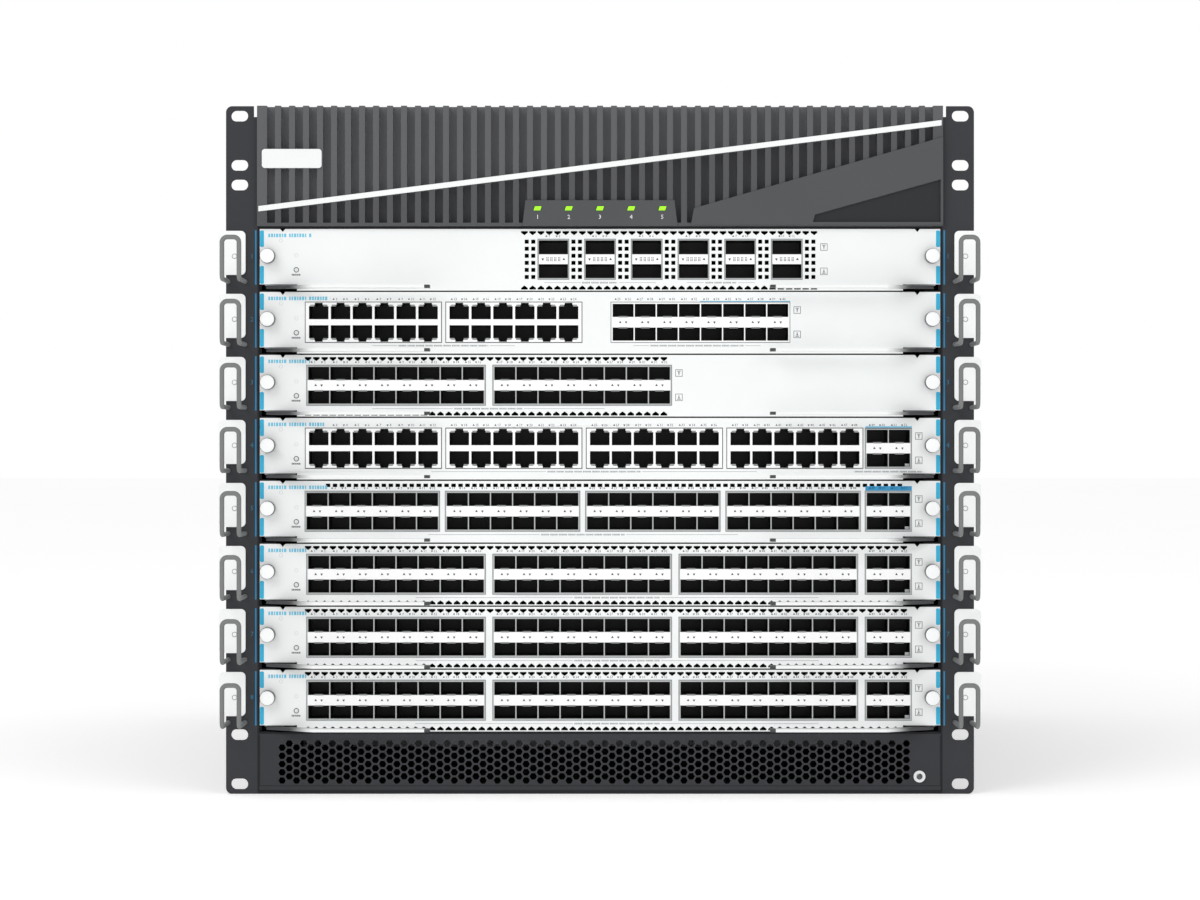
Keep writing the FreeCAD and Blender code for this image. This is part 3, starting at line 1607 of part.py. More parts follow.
doc.recompute()
for item in doc.Objects:
    if "Invalid" in item.State or "Error" in item.State:
        raise RuntimeError("failed object: " + item.Label)
for item in nodes:
    if item.Shape.isNull() or not item.Shape.isValid():
        raise RuntimeError("bad shape: " + item.Label)

os.makedirs("parts", exist_ok=True)
for item in nodes:
    item.Shape.exportStep("parts/" + item.Label + ".step")
print(len(nodes), "nodes written")
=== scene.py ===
import math

import bmesh
import bpy
from mathutils import Matrix, Vector


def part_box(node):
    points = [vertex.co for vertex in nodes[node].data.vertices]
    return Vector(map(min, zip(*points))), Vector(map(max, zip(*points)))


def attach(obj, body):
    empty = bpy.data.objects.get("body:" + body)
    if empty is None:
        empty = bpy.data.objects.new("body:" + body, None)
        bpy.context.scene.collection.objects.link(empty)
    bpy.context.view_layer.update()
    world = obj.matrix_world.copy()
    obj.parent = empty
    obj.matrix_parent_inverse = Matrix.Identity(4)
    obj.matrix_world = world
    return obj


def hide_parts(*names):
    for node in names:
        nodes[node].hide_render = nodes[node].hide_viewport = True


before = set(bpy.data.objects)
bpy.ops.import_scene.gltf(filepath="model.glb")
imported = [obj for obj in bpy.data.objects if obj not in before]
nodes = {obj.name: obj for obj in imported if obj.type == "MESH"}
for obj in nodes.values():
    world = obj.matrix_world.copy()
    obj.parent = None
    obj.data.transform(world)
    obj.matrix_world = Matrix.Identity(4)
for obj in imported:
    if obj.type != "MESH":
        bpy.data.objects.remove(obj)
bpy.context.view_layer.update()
MM = 0.001

# ---- chassis shell ----
# Folded steel box with two inner decks and drilled posts beside the slots. It has a fine black
# powder coat, whose grain shows as a soft sparkle on the sides.


# sockets of the Mix node when it mixes colours
MIX_RESULT = 2
MIX_INPUTS = (6, 7)


class Value:
    """A shader value. Arithmetic on it adds Math nodes to its paint."""

    def __init__(self, paint, socket):
        self.paint = paint
        self.socket = socket

    def math(self, operation, *others):
        return self.paint.node("ShaderNodeMath", {"operation": operation}, *others)

    def __add__(self, other):
        return self.math("ADD", self, other)

    def __radd__(self, other):
        return self.math("ADD", other, self)

    def __sub__(self, other):
        return self.math("SUBTRACT", self, other)

    def __rsub__(self, other):
        return self.math("SUBTRACT", other, self)

    def __mul__(self, other):
        return self.math("MULTIPLY", self, other)

    def __rmul__(self, other):
        return self.math("MULTIPLY", other, self)

    def above(self, edge):
        return self.math("GREATER_THAN", self, edge)


class Paint:
    """One procedural finish: a Principled shader whose patterns lie on Object coordinates."""

    def __init__(self, name, colour, roughness, **fixed):
        self.material = bpy.data.materials.new(name)
        self.material.use_nodes = True
        self.tree = self.material.node_tree
        self.shader = self.tree.nodes["Principled BSDF"]
        self.shader.inputs["Base Color"].default_value = colour
        self.shader.inputs["Roughness"].default_value = roughness
        for socket, value in fixed.items():
            self.shader.inputs[socket.replace("_", " ")].default_value = value
        self.place = self.node("ShaderNodeTexCoord", output="Object")

    def node(self, kind, settings=None, *values, output=0, **named):
        """Any node: its settings first, then values or links for its sockets by order or by name."""
        made = self.tree.nodes.new(kind)
        for setting, choice in (settings or {}).items():
            if setting == "stops":
                ramp = made.color_ramp
                for stop, (position, colour) in enumerate(choice):
                    if stop > 1:
                        ramp.elements.new(position)
                    ramp.elements[stop].position = position
                    ramp.elements[stop].color = colour
            else:
                setattr(made, setting, choice)
        pairs = [(made.inputs[index], value) for index, value in enumerate(values)]
        pairs += [(made.inputs[key.replace("_", " ")], value) for key, value in named.items()]
        for socket, value in pairs:
            if isinstance(value, Value):
                self.tree.links.new(value.socket, socket)
            elif value is not None:
                socket.default_value = value
        return Value(self, made.outputs[output])

    def feed(self, socket, value):
        self.tree.links.new(value.socket, self.shader.inputs[socket])

    def noise(self, size, detail=2.0, stretch=(1, 1, 1)):
        """Soft noise from 0 to 1 whose blotches are about size metres wide."""
        place = self.node("ShaderNodeMapping", {}, self.place, Scale=stretch)
        return self.node(
            "ShaderNodeTexNoise", {}, Vector=place, Scale=1 / size, Detail=detail, output="Fac"
        )

    def tint(self, mask, low, high):
        """Base colour that runs from low to high with the mask."""
        mixed = self.node(
            "ShaderNodeMix", {"data_type": "RGBA"}, output=MIX_RESULT, Factor=mask
        )
        for index, colour in zip(MIX_INPUTS, (low, high)):
            mixed.socket.node.inputs[index].default_value = colour
        self.feed("Base Color", mixed)

    def bump(self, height, distance, strength=1.0):
        normal = self.node(
            "ShaderNodeBump", {}, Strength=strength, Distance=distance, Height=height
        )
        self.feed("Normal", normal)


def rgb(code, factor=1.0):
    """A linear colour from a six-digit screen colour."""
    parts = [int(code[start : start + 2], 16) / 255 for start in (0, 2, 4)]
    linear = [
        part / 12.92 if part <= 0.04045 else ((part + 0.055) / 1.055) ** 2.4 for part in parts
    ]
    return (*[part * factor for part in linear], 1.0)


def powder_coat(name, code, roughness=0.5, grain=0.45 * MM, depth=0.02 * MM):
    """Baked paint: a fine orange-peel grain, with slow changes in tone and sheen."""
    paint = Paint(name, rgb(code), roughness, Specular_IOR_Level=0.12)
    cloud = paint.noise(60 * MM, 3.0)
    paint.tint(cloud, rgb(code, 0.93), rgb(code, 1.06))
    paint.feed("Roughness", roughness - 0.05 + cloud * 0.1)
    paint.bump(paint.noise(grain), depth)
    return paint.material


def finish_node(name, material):
    nodes[name].data.materials.clear()
    nodes[name].data.materials.append(material)


shell_paint = powder_coat("shell_powder_coat", "26272a", 0.55)
finish_node("chassis_frame", shell_paint)

# ---- top cover ----
# A flat steel lid on the shell, in the same paint, held by rows of countersunk screws along its
# two long edges and its rear edge.

finish_node("top_cover", shell_paint)


def new_piece(name, shape, materials, body, smooth_angle=None):
    """Turn a finished bmesh into an object that rides on a body."""
    if smooth_angle is not None:
        for face in shape.faces:
            face.smooth = True
        for edge in shape.edges:
            edge.smooth = edge.calc_face_angle(math.pi) < math.radians(smooth_angle)
    mesh = bpy.data.meshes.new(name)
    shape.to_mesh(mesh)
    shape.free()
    for material in materials:
        mesh.materials.append(material)
    piece = bpy.data.objects.new(name, mesh)
    bpy.context.scene.collection.objects.link(piece)
    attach(piece, body)
    return piece


def facing(turn):
    """Rotation that points a shape's +Z along a named direction."""
    turns = {
        "front": Matrix.Rotation(math.pi / 2, 4, "X"),
        "back": Matrix.Rotation(-math.pi / 2, 4, "X"),
        "up": Matrix.Identity(4),
        "left": Matrix.Rotation(-math.pi / 2, 4, "Y"),
        "right": Matrix.Rotation(math.pi / 2, 4, "Y"),
    }
    return turns[turn]


def colour_in(made, index):
    """Give the faces of a fresh bmesh shape one material slot."""
    for vert in made["verts"]:
        for face in vert.link_faces:
            face.material_index = index


def add_screw(shape, place, turn, radius=3 * MM, tall=0.5 * MM):
    """A low round screw head in the first material, with a cross recess in the second."""
    matrix = Matrix.Translation(place) @ facing(turn)
    head = bmesh.ops.create_cone(
        shape,
        cap_ends=True,
        segments=20,
        radius1=radius,
        radius2=radius * 0.8,
        depth=tall,
        matrix=matrix @ Matrix.Translation((0, 0, tall / 2)),
    )
    colour_in(head, 0)
    for wide, long in ((0.32, 1.1), (1.1, 0.32)):
        bar = bmesh.ops.create_cube(
            shape,
            size=1,
            matrix=matrix
            @ Matrix.Translation((0, 0, tall))
            @ Matrix.Diagonal((radius * wide, radius * long, 0.04 * MM, 1)),
        )
        colour_in(bar, 1)


steel = Paint("bright_screw_steel", rgb("8f9296"), 0.32, Metallic=1.0)
steel.bump(steel.noise(0.3 * MM), 0.01 * MM)
recess_dark = Paint("recess_shadow", rgb("101113"), 0.7)
recess_dark.bump(recess_dark.noise(0.5 * MM), 0.01 * MM)



def spread(start, end, count):
    """Evenly spaced places from start to end."""
    return [start + place * (end - start) / (count - 1) for place in range(count)]


screw_materials = [steel.material, recess_dark.material]
cover_low, cover_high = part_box("top_cover")
screw_z = cover_high.z - 0.6 * MM
edge_gap = 8 * MM
screws = bmesh.new()
for y in spread(cover_low.y + 30 * MM, cover_high.y - 30 * MM, 7):
    for x in (cover_low.x + edge_gap, cover_high.x - edge_gap):
        add_screw(screws, (x, y, screw_z), "up")
for x in spread(cover_low.x + 60 * MM, cover_high.x - 60 * MM, 5):
    add_screw(screws, (x, cover_high.y - edge_gap, screw_z), "up")
new_piece("top_cover_screws", screws, screw_materials, "chassis", 40)

shell_low, shell_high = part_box("chassis_frame")
tray_low, tray_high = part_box("fan_tray")
side_screws = bmesh.new()
for deck_z in (tray_low.z - 1 * MM, tray_high.z + 1 * MM):
    for y in spread(shell_low.y + 75 * MM, shell_high.y - 30 * MM, 8):
        add_screw(side_screws, (shell_low.x, y, deck_z), "left", 2.6 * MM)
        add_screw(side_screws, (shell_high.x, y, deck_z), "right", 2.6 * MM)
new_piece("side_screws", side_screws, screw_materials, "chassis", 40)

# ---- card rails and backplane ----
# Black moulded rails carry the boards. The green circuit board behind them joins the cards, and
# slanted slats guide the cooling air past its sides.

rail_plastic = powder_coat("rail_plastic", "17181a", 0.45, 0.3 * MM)
finish_node("card_guides", rail_plastic)


def circuit_board(name):
    """Green solder mask with finer and darker copper runs under it."""
    board = Paint(name, rgb("0f4a2c"), 0.35, Coat_Weight=0.3)
    lanes = board.noise(2.5 * MM, 0.0, (1, 0.05, 1)) + board.noise(2.5 * MM, 0.0, (0.05, 1, 1))
    mask = lanes.above(1.08)
    board.tint(mask, rgb("0f4a2c"), rgb("1a6a40"))
    board.bump(mask, 0.03 * MM)
    return board.material


board_green = circuit_board("board_solder_mask")
finish_node("backplane", board_green)

wall_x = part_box("card_guides")[1].x
backplane_low, backplane_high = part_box("backplane")
louvres = bmesh.new()
slat_pitch = 7 * MM
slat_tilt = math.radians(40)
slat_size = (10 * MM, 0.8 * MM, backplane_high.z - backplane_low.z, 1)
slat_y = backplane_high.y + 8 * MM
slat_z = (backplane_low.z + backplane_high.z) / 2
slat_count = int((wall_x - backplane_high.x) / slat_pitch)
for sign in (-1, 1):
    turn = Matrix.Rotation(sign * slat_tilt, 4, "Z")
    for slat in range(slat_count):
        x = sign * (backplane_high.x + (slat + 0.6) * slat_pitch)
        place = Matrix.Translation((x, slat_y, slat_z))
        bmesh.ops.create_cube(louvres, size=1, matrix=place @ turn @ Matrix.Diagonal(slat_size))
new_piece("air_louvres", louvres, [rail_plastic], "chassis")

# ---- rack ears ----
# Thick L-shaped steel flanges with slotted bolt holes, in a dark grey coat. Beside every card they
# carry its slot number and a thin blue line.

ear_paint = powder_coat("ear_powder_coat", "3b3c3f", 0.5, 0.4 * MM)
for side in ("left", "right"):
    finish_node("rack_ear_" + side, ear_paint)

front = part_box("intake_grille")[0].y
slots = range(1, 9)
card_boxes = {slot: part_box("line_card_%d" % slot) for slot in slots}
card_middle = {slot: (low.z + high.z) / 2 for slot, (low, high) in card_boxes.items()}
knob_low, knob_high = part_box("thumbscrew_left_1")
knob_rise = (knob_low.z + knob_high.z) / 2 - card_middle[1]
PRINT_GAP = 0.05 * MM
face_y = front - PRINT_GAP


def add_patch(shape, x, z, y, index, radius=0.0, thick=0.0):
    """A rectangle of print or thin plate that faces the front; its corners can be round."""
    wide, tall = x[1] - x[0], z[1] - z[0]
    middle = Vector(((x[0] + x[1]) / 2, y, (z[0] + z[1]) / 2))
    made = bmesh.ops.create_grid(
        shape,
        x_segments=1,
        y_segments=1,
        size=0.5,
        matrix=Matrix.Translation(middle) @ facing("front") @ Matrix.Diagonal((wide, tall, 1, 1)),
    )
    if radius:
        made = bmesh.ops.bevel(
            shape,
            geom=made["verts"],
            offset=radius,
            segments=4,
            affect="VERTICES",
            profile=0.5,
            material=-1,
        )
    colour_in(made, index)
    if thick:
        pushed = bmesh.ops.extrude_face_region(shape, geom=made["verts"][0].link_faces[:])
        corners = [item for item in pushed["geom"] if isinstance(item, bmesh.types.BMVert)]
        bmesh.ops.translate(shape, vec=(0, -thick, 0), verts=corners)


def add_triangle(shape, x, z, y, size, index, up=True):
    made = bmesh.ops.create_circle(
        shape,
        cap_ends=True,
        segments=3,
        radius=size,
        matrix=Matrix.Translation((x, y, z))
        @ facing("front")
        @ Matrix.Rotation(0 if up else math.pi, 4, "Z"),
    )
    colour_in(made, index)


def add_ring(shape, x, z, y, outer, inner, index):
    """A flat printed or pressed ring that faces the front."""
    matrix = Matrix.Translation((x, y, z)) @ facing("front")
    rims = [
        bmesh.ops.create_circle(shape, segments=24, radius=radius, matrix=matrix)["verts"]
        for radius in (outer, inner)
    ]
    edges = {edge for rim in rims for vert in rim for edge in vert.link_edges}
    bridged = bmesh.ops.bridge_loops(shape, edges=list(edges))
    for face in bridged["faces"]:
        face.material_index = index


numerals = {}


def add_number(shape, text, x, z, y, tall, index):
    """A printed numeral, centred on x and z. Each text's outline is made a mesh once."""
    if text not in numerals:
        curve = bpy.data.curves.new("numeral", "FONT")
        curve.body = text
        curve.size = 1.0
        curve.resolution_u = 1
        curve.align_x = "CENTER"
        curve.align_y = "CENTER"
        letter = bpy.data.objects.new("numeral", curve)
        numerals[text] = bpy.data.meshes.new_from_object(letter)
        bpy.data.objects.remove(letter)
    stamp = numerals[text].copy()
    stamp.transform(Matrix.Translation((x, y, z)) @ facing("front") @ Matrix.Scale(tall * 1.4, 4))
    for polygon in stamp.polygons:
        polygon.material_index = index
    shape.from_mesh(stamp)
    bpy.data.meshes.remove(stamp)


def ink(name, code, roughness=0.5):
    """Printed ink: an even colour with a faint mottling."""
    print_ink = Paint(name, rgb(code), roughness)
    print_ink.tint(print_ink.noise(0.8 * MM), rgb(code, 0.9), rgb(code, 1.1))
    return print_ink.material


pale_ink = ink("pale_ink", "e8ebeb")
blue_ink = ink("blue_ink", "1c7cab")
number_ink = ink("number_ink", "236a8a")
for side, sign in (("left", -1), ("right", 1)):
    marks = bmesh.new()
    line = sorted(sign * (shell_high.x + away) for away in (0.6 * MM, 1.6 * MM))
    number_x = sign * (shell_high.x + 3.5 * MM)
    for slot in slots:
        middle = card_middle[slot]
        add_patch(marks, line, (middle - 16 * MM, middle + 19 * MM), face_y, 1)
        add_number(marks, str(slot), number_x, middle + knob_rise, face_y, 3.2 * MM, 0)
    new_piece("slot_numbers_" + side, marks, [number_ink, blue_ink], "chassis")

# ---- bezel ----
# One grey moulding with 49 upright ribs between grooves, a raised lamp panel in the middle and a
# sloping flat area at the right with a darker inset. A white stripe and a blank plate lie on it.


def merged_copy(name):
    """A copy of a CAD node with the corners of its loose triangles welded together."""
    shape = bmesh.new()
    shape.from_mesh(nodes[name].data)
    bmesh.ops.remove_doubles(shape, verts=shape.verts, dist=0.002 * MM)
    return shape


def join_flat_faces(shape):
    bmesh.ops.dissolve_limit(
        shape,
        angle_limit=math.radians(1),
        verts=shape.verts,
        edges=shape.edges,
        delimit={"MATERIAL"},
    )


def add_bevel(piece, width, segments=2, angle=40):
    bevel = piece.modifiers.new("edges", "BEVEL")
    bevel.limit_method = "ANGLE"
    bevel.angle_limit = math.radians(angle)
    bevel.width = width
    bevel.segments = segments
    bevel.profile = 0.5
    bevel.use_clamp_overlap = True
    return piece


bezel_low, bezel_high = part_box("front_bezel")
rib_face = bezel_low.y + 1 * MM
stripe_low, stripe_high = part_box("bezel_stripe")
STRIPE_TALL = 3.5 * MM


def bezel_coat(name, code, shade):
    """Moulded grey that is a tone darker below the slanting stripe."""
    paint = Paint(name, rgb(code), 0.45, Specular_IOR_Level=0.12)
    x = paint.node("ShaderNodeSeparateXYZ", {}, paint.place, output="X")
    z = paint.node("ShaderNodeSeparateXYZ", {}, paint.place, output="Z")
    slope = (stripe_high.z - stripe_low.z - STRIPE_TALL) / (stripe_high.x - stripe_low.x)
    line = (x - stripe_low.x) * slope + stripe_low.z
    paint.tint((line - z).above(0), rgb(code), rgb(code, shade))
    paint.bump(paint.noise(0.35 * MM), 0.02 * MM)
    return paint.material


rib_plastic = bezel_coat("rib_plastic", "5e5f61", 0.78)
# the groove floors are painted lighter than the ribs: painted light that stands in for the light
# that real, shallower grooves catch
groove_plastic_painted_light = bezel_coat("groove_plastic_painted_light", "707174", 0.62)
panel_plastic = powder_coat("panel_plastic", "535456", 0.45, 0.35 * MM)
inset_plastic = powder_coat("inset_plastic", "303133", 0.5, 0.35 * MM)
RIB, GROOVE, PANEL, INSET = range(4)
bezel = merged_copy("front_bezel")
for face in bezel.faces:
    middle = face.calc_center_median()
    if middle.y < rib_face - 0.5 * MM:
        face.material_index = PANEL
    elif middle.y > rib_face + 0.1 * MM and middle.z < bezel_high.z - 1 * MM:
        in_inset = face.normal.y < -0.9 and middle.y < rib_face + 1 * MM
        face.material_index = INSET if in_inset else GROOVE
    else:
        face.material_index = RIB
join_flat_faces(bezel)
bezel_piece = new_piece(
    "bezel_moulding",
    bezel,
    [rib_plastic, groove_plastic_painted_light, panel_plastic, inset_plastic],
    "chassis",
)
add_bevel(bezel_piece, 0.35 * MM)
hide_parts("front_bezel")

white_trim = powder_coat("white_trim", "f0f1f1", 0.4, 0.3 * MM, 0.01 * MM)
for name in ("bezel_stripe", "badge_plate"):
    trim = merged_copy(name)
    join_flat_faces(trim)
    trim_piece = new_piece(name + "_trim", trim, [white_trim], "chassis")
    add_bevel(trim_piece, 0.25 * MM)
    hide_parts(name)

# ---- status lamps ----
# Five slanted green lenses in the lamp panel, lit from behind, each with a small white numeral.

lens_green = Paint("lit_green_lens", rgb("7fd60c"), 0.25, Emission_Strength=0.55, Coat_Weight=0.5)
glow = lens_green.noise(1.5 * MM)
lens_green.tint(glow, rgb("8ade10"), rgb("a4ee1e"))
lens_green.shader.inputs["Emission Color"].default_value = rgb("86dd10")
finish_node("status_lenses", lens_green.material)

lens_low, lens_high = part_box("status_lenses")
half_lens = 2.6 * MM
numeral_y = bezel_low.y - PRINT_GAP
numeral_z = lens_low.z - 4.3 * MM
lamp_marks = bmesh.new()
for lamp, x in enumerate(spread(lens_low.x + half_lens, lens_high.x - half_lens, 5)):
    add_number(lamp_marks, str(lamp + 1), x, numeral_z, numeral_y, 2.8 * MM, 0)
new_piece("lamp_numbers", lamp_marks, [pale_ink], "chassis")

# ---- intake grille ----
# Perforated steel sheet with staggered hexagonal holes. A nickel-plated grounding socket is
# pressed into its right end.

grille_paint = powder_coat("grille_powder_coat", "3b3c3f", 0.5, 0.4 * MM)
finish_node("intake_grille", grille_paint)
grille_low, grille_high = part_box("intake_grille")
# thin dark strips of painted shadow lie in the gap round the grille panel
seams = bmesh.new()
seam_wide = 0.6 * MM
seam_x = 219.8 * MM
seam_y = grille_low.y - 0.02 * MM
seam_z = grille_low.z + 3 * MM
for sign in (-1, 1):
    across = sorted((sign * seam_x, sign * (seam_x - seam_wide)))
    add_patch(seams, across, (seam_z, grille_high.z - 1 * MM), seam_y, 0)
add_patch(seams, (-seam_x, seam_x), (seam_z - seam_wide, seam_z), seam_y, 0)
new_piece("intake_seams", seams, [recess_dark.material], "chassis")
nickel = Paint("socket_nickel", rgb("e4e5e6"), 0.3, Metallic=0.6)
nickel.bump(nickel.noise(0.3 * MM), 0.005 * MM)
finish_node("esd_socket", nickel.material)

# ---- cable guides ----
# A white plate on the ear and a hook of grey plastic-coated wire beside every card keep the
# network cables together. A dimpled rivet holds each plate, with a grey ring of painted shade round
# its head for the dimple.

guide_white = powder_coat("guide_white", "f7f8f8", 0.45, 0.35 * MM)
guide_grey_and_dimple_shade = powder_coat("guide_grey_and_dimple_shade", "7d7e7e", 0.45, 0.35 * MM)
guides = merged_copy("cable_guides")


def islands_of(shape):
    """The separate solids of a mesh, each as a list of faces with its low and high corner."""
    unseen = set(shape.faces)
    found = []
    while unseen:
        waiting = [unseen.pop()]
        faces = []
        while waiting:
            face = waiting.pop()
            faces.append(face)
            for edge in face.edges:
                for other in edge.link_faces:
                    if other in unseen:
                        unseen.discard(other)
                        waiting.append(other)
        corners = [corner.co for face in faces for corner in face.verts]
        low = Vector([min(corner[axis] for corner in corners) for axis in range(3)])
        high = Vector([max(corner[axis] for corner in corners) for axis in range(3)])
        found.append((faces, low, high))
    return found


for faces, low, high in islands_of(guides):
    is_hook = high.y - low.y > 10 * MM
    for face in faces:
        face.material_index = 1 if is_hook else 0
join_flat_faces(guides)
guide_piece = new_piece(
    "cable_guide_set", guides, [guide_white, guide_grey_and_dimple_shade], "chassis", 40
)
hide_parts("cable_guides")

rivets = bmesh.new()
rivet_x = 235.6 * MM
rivet_y = front - 1.5 * MM
rivet_tall = 0.3 * MM
for slot in slots:
    z = card_middle[slot] + knob_rise
    for x in (-rivet_x, rivet_x):
        # a grey ring round each rivet head is painted shade in its dimple
        add_ring(rivets, x, z, rivet_y - PRINT_GAP, 1.7 * MM, 1.3 * MM, 1)
        head = bmesh.ops.create_cone(
            rivets,
            cap_ends=True,
            segments=24,
            radius1=1.4 * MM,
            radius2=1.0 * MM,
            depth=rivet_tall,
            matrix=Matrix.Translation((x, rivet_y - rivet_tall / 2, z)) @ facing("front"),
        )
        colour_in(head, 0)
new_piece("cable_guide_rivets", rivets, [guide_white, guide_grey_and_dimple_shade], "chassis", 40)

# ---- line cards ----
# Each card is a white painted faceplate with windows for its port blocks, on a green board that
# carries chips, capacitors and heat sinks, with a connector at its rear. Print marks the ports,
# and rows of plain blocks stand for names and small print.

card_paint = powder_coat("card_paint", "f1f3f3", 0.42, 0.35 * MM, 0.012 * MM)
port_dark = Paint("port_cavity", rgb("1b1c1b"), 0.55)
port_dark.tint(port_dark.noise(4 * MM), rgb("161716"), rgb("222322"))
cage_metal = Paint("cage_metal", rgb("b4b7b7"), 0.4, Metallic=0.3)
cage_metal.bump(cage_metal.noise(0.6 * MM), 0.01 * MM)
band_white = powder_coat("band_white", "fafafa", 0.45, 0.3 * MM, 0.008 * MM)
sink_metal = Paint("heat_sink_aluminium", rgb("a9acb0"), 0.4, Metallic=0.9)
sink_metal.bump(sink_metal.noise(0.5 * MM, 2.0, (1, 0.05, 1)), 0.02 * MM)
lamp_lens = Paint("card_lamp_lens", rgb("dfe3e3"), 0.2, Coat_Weight=0.6)
lamp_lens.tint(lamp_lens.noise(1 * MM), rgb("d5dada"), rgb("eef1f1"))

dark_ink = ink("dark_ink", "4c5054")
grey_ink = ink("grey_ink", "9a9ea0")
cyan_ink = ink("cyan_ink", "29b0d9")
black_ink = ink("black_ink", "1f2123")
sky_ink = ink("sky_ink", "8cc9e6")
sea_ink = ink("sea_ink", "2a93c7")
stud_shade_ink = ink("stud_shade_ink", "c3c8c8")
tab_grey = powder_coat("latch_grey", "8d9090", 0.4, 0.3 * MM)
name_ink = ink("name_ink", "6fc6e2")
PRINTS = [
    dark_ink,
    grey_ink,
    cyan_ink,
    black_ink,
    sky_ink,
    sea_ink,
    stud_shade_ink,
    name_ink,
    band_white,
    tab_grey,
]
DARK, GREY, CYAN, BLACK, SKY, SEA, STUD_SHADE, NAME, BAND, TAB = range(10)
NAME_START = -214.0 * MM
NAME_LENGTHS = {1: 28, 2: 40, 3: 27, 4: 36, 5: 38, 6: 26, 7: 26, 8: 26}
# The small print under each card's ports, in millimetres: its middle and length, and the length
# of the bracket line around it.
LEGENDS = {
    1: [(0, 23, 72), (78, 20, 44)],
    2: [(-101, 58, 92), (62.6, 60, 82)],
    3: [(-72, 44, 150)],
    4: [(-3.9, 60, 210), (186, 43, 44)],
    5: [(-11, 54, 200)],
    6: [(11, 55, 260)],
    7: [(11, 55, 260)],
    8: [(11, 55, 260)],
}
# A blue strip over the last ports of some cards: its left end in millimetres (None is the block's
# own), its edges above the block in millimetres, and its ink.
STRIPS = {2: (64.6, 0.1, 1, SKY), 4: (None, 0.1, 1.5, SKY), 5: (None, 0.5, 3.4, SEA)}
COPPER_CARDS = (2, 4)
COPPER_COLUMNS = 6
COPPER_PITCH = 14.1 * MM
FIBRE_PITCH = 14.25 * MM
NUMBER_RISE = 2.1 * MM
BAND_THICK = 0.2 * MM
BLOCK_TALL = 25.6 * MM
BLOCK_DEEP = 26 * MM


def solid_kind(low, high):
    """Tell a card's solids apart by their sizes."""
    size = high - low
    if size.y < 3 * MM and size.x > 300 * MM:
        return "plate"
    if size.y > 300 * MM:
        return "board"
    if abs(size.z - BLOCK_TALL) < 0.5 * MM and abs(size.y - BLOCK_DEEP) < 1 * MM:
        return "ports"
    if size.z > 20 * MM and size.y > 60 * MM:
        return "sink"
    if size.x > 200 * MM:
        return "connector"
    return "bracket"


def around(middle, half):
    """The two ends of a span with this middle and half length."""
    return (middle - half, middle + half)


def add_outline(shape, x, z, y, thick, index):
    """A thin printed frame around a rectangle."""
    add_patch(shape, x, (z[0], z[0] + thick), y, index)
    add_patch(shape, x, (z[1] - thick, z[1]), y, index)
    add_patch(shape, (x[0], x[0] + thick), (z[0] + thick, z[1] - thick), y, index)
    add_patch(shape, (x[1] - thick, x[1]), (z[0] + thick, z[1] - thick), y, index)


def add_block_outline(shape, low, high, margin, thick, index):
    """A printed frame on the faceplate, just outside a port block."""
    x = (low.x - margin, high.x + margin)
    z = (low.z - margin, high.z + margin)
    add_outline(shape, x, z, face_y, thick, index)


def add_marks(shape, x, z, y, length, tall, index):
    """A row of plain blocks, with gaps between words, that stands for small print."""
    start = x
    step = 0
    while start < x + length:
        end = min(start + (0.5 + 0.15 * math.sin(2.3 * step)) * tall, x + length)
        add_patch(shape, (start, end), around(z, tall / 2), y, index)
        step += 1
        start = end + (0.8 if step % 7 == 0 else 0.24) * tall


def add_port_numbers(shape, x, z, first):
    """The two port numbers over a column, with triangles that point to the upper and lower port."""
    for sign, number, up in ((-1, first, True), (1, first + 1, False)):
        place = x + sign * 3.3 * MM
        shift = 0.9 * MM if number > 9 else 0.6 * MM
        add_triangle(shape, place - shift - 0.6 * MM, z, face_y, 0.8 * MM, DARK, up)
        add_number(shape, str(number), place + 0.7 * MM, z, face_y, 1.6 * MM, DARK)


def add_lane_dots(shape, x, z, y):
    """Four groups of six printed dots, one group for every lane of a wide module."""
    half_dot = 0.28 * MM
    for lane in range(4):
        for row in (-1, 0, 1):
            for pair in (-0.45, 0.45):
                dot_x = x + (lane - 1.5) * 2.5 * MM + pair * MM
                dot_z = z + row * 0.95 * MM
                add_patch(shape, around(dot_x, half_dot), around(dot_z, half_dot), y, BLACK)


def dress_fibre(shape, low, high, first, name_end, wide):
    """White label band, latch tabs, arrows and numbers on a block of module cages."""
    middle = (low.z + high.z) / 2
    y = low.y - PRINT_GAP
    mark_y = y - BAND_THICK - PRINT_GAP
    columns = 1 if wide else round((high.x - low.x - 1.8 * MM) / FIBRE_PITCH)
    band_x = (low.x + 0.5 * MM, high.x - 0.5 * MM)
    band_z = around(middle, (3.1 if wide else 3.3) * MM)
    add_patch(shape, band_x, band_z, y, BAND, 0, BAND_THICK)
    for column in range(columns):
        x = (low.x + high.x) / 2 + (column - (columns - 1) / 2) * FIBRE_PITCH
        if wide:
            add_triangle(shape, x - 6.8 * MM, middle, mark_y, 1.0 * MM, BLACK, False)
            add_triangle(shape, x + 6.8 * MM, middle, mark_y, 1.0 * MM, BLACK, True)
            add_lane_dots(shape, x, middle, mark_y)
        else:
            add_triangle(shape, x - 1.9 * MM, middle, mark_y, 0.95 * MM, BLACK, True)
            add_triangle(shape, x + 1.9 * MM, middle, mark_y, 0.95 * MM, BLACK, False)
            for sign in (-1, 1):
                tab = sorted((middle + sign * 3.1 * MM, middle + sign * 4.0 * MM))
                add_patch(shape, around(x, 2.9 * MM), tab, y, TAB, 0.3 * MM, 0.3 * MM)
        if x > name_end:
            add_port_numbers(shape, x, high.z + NUMBER_RISE, first + 2 * column)
    add_block_outline(shape, low, high, 0.45 * MM, 0.35 * MM, GREY)
    return first + 2 * columns


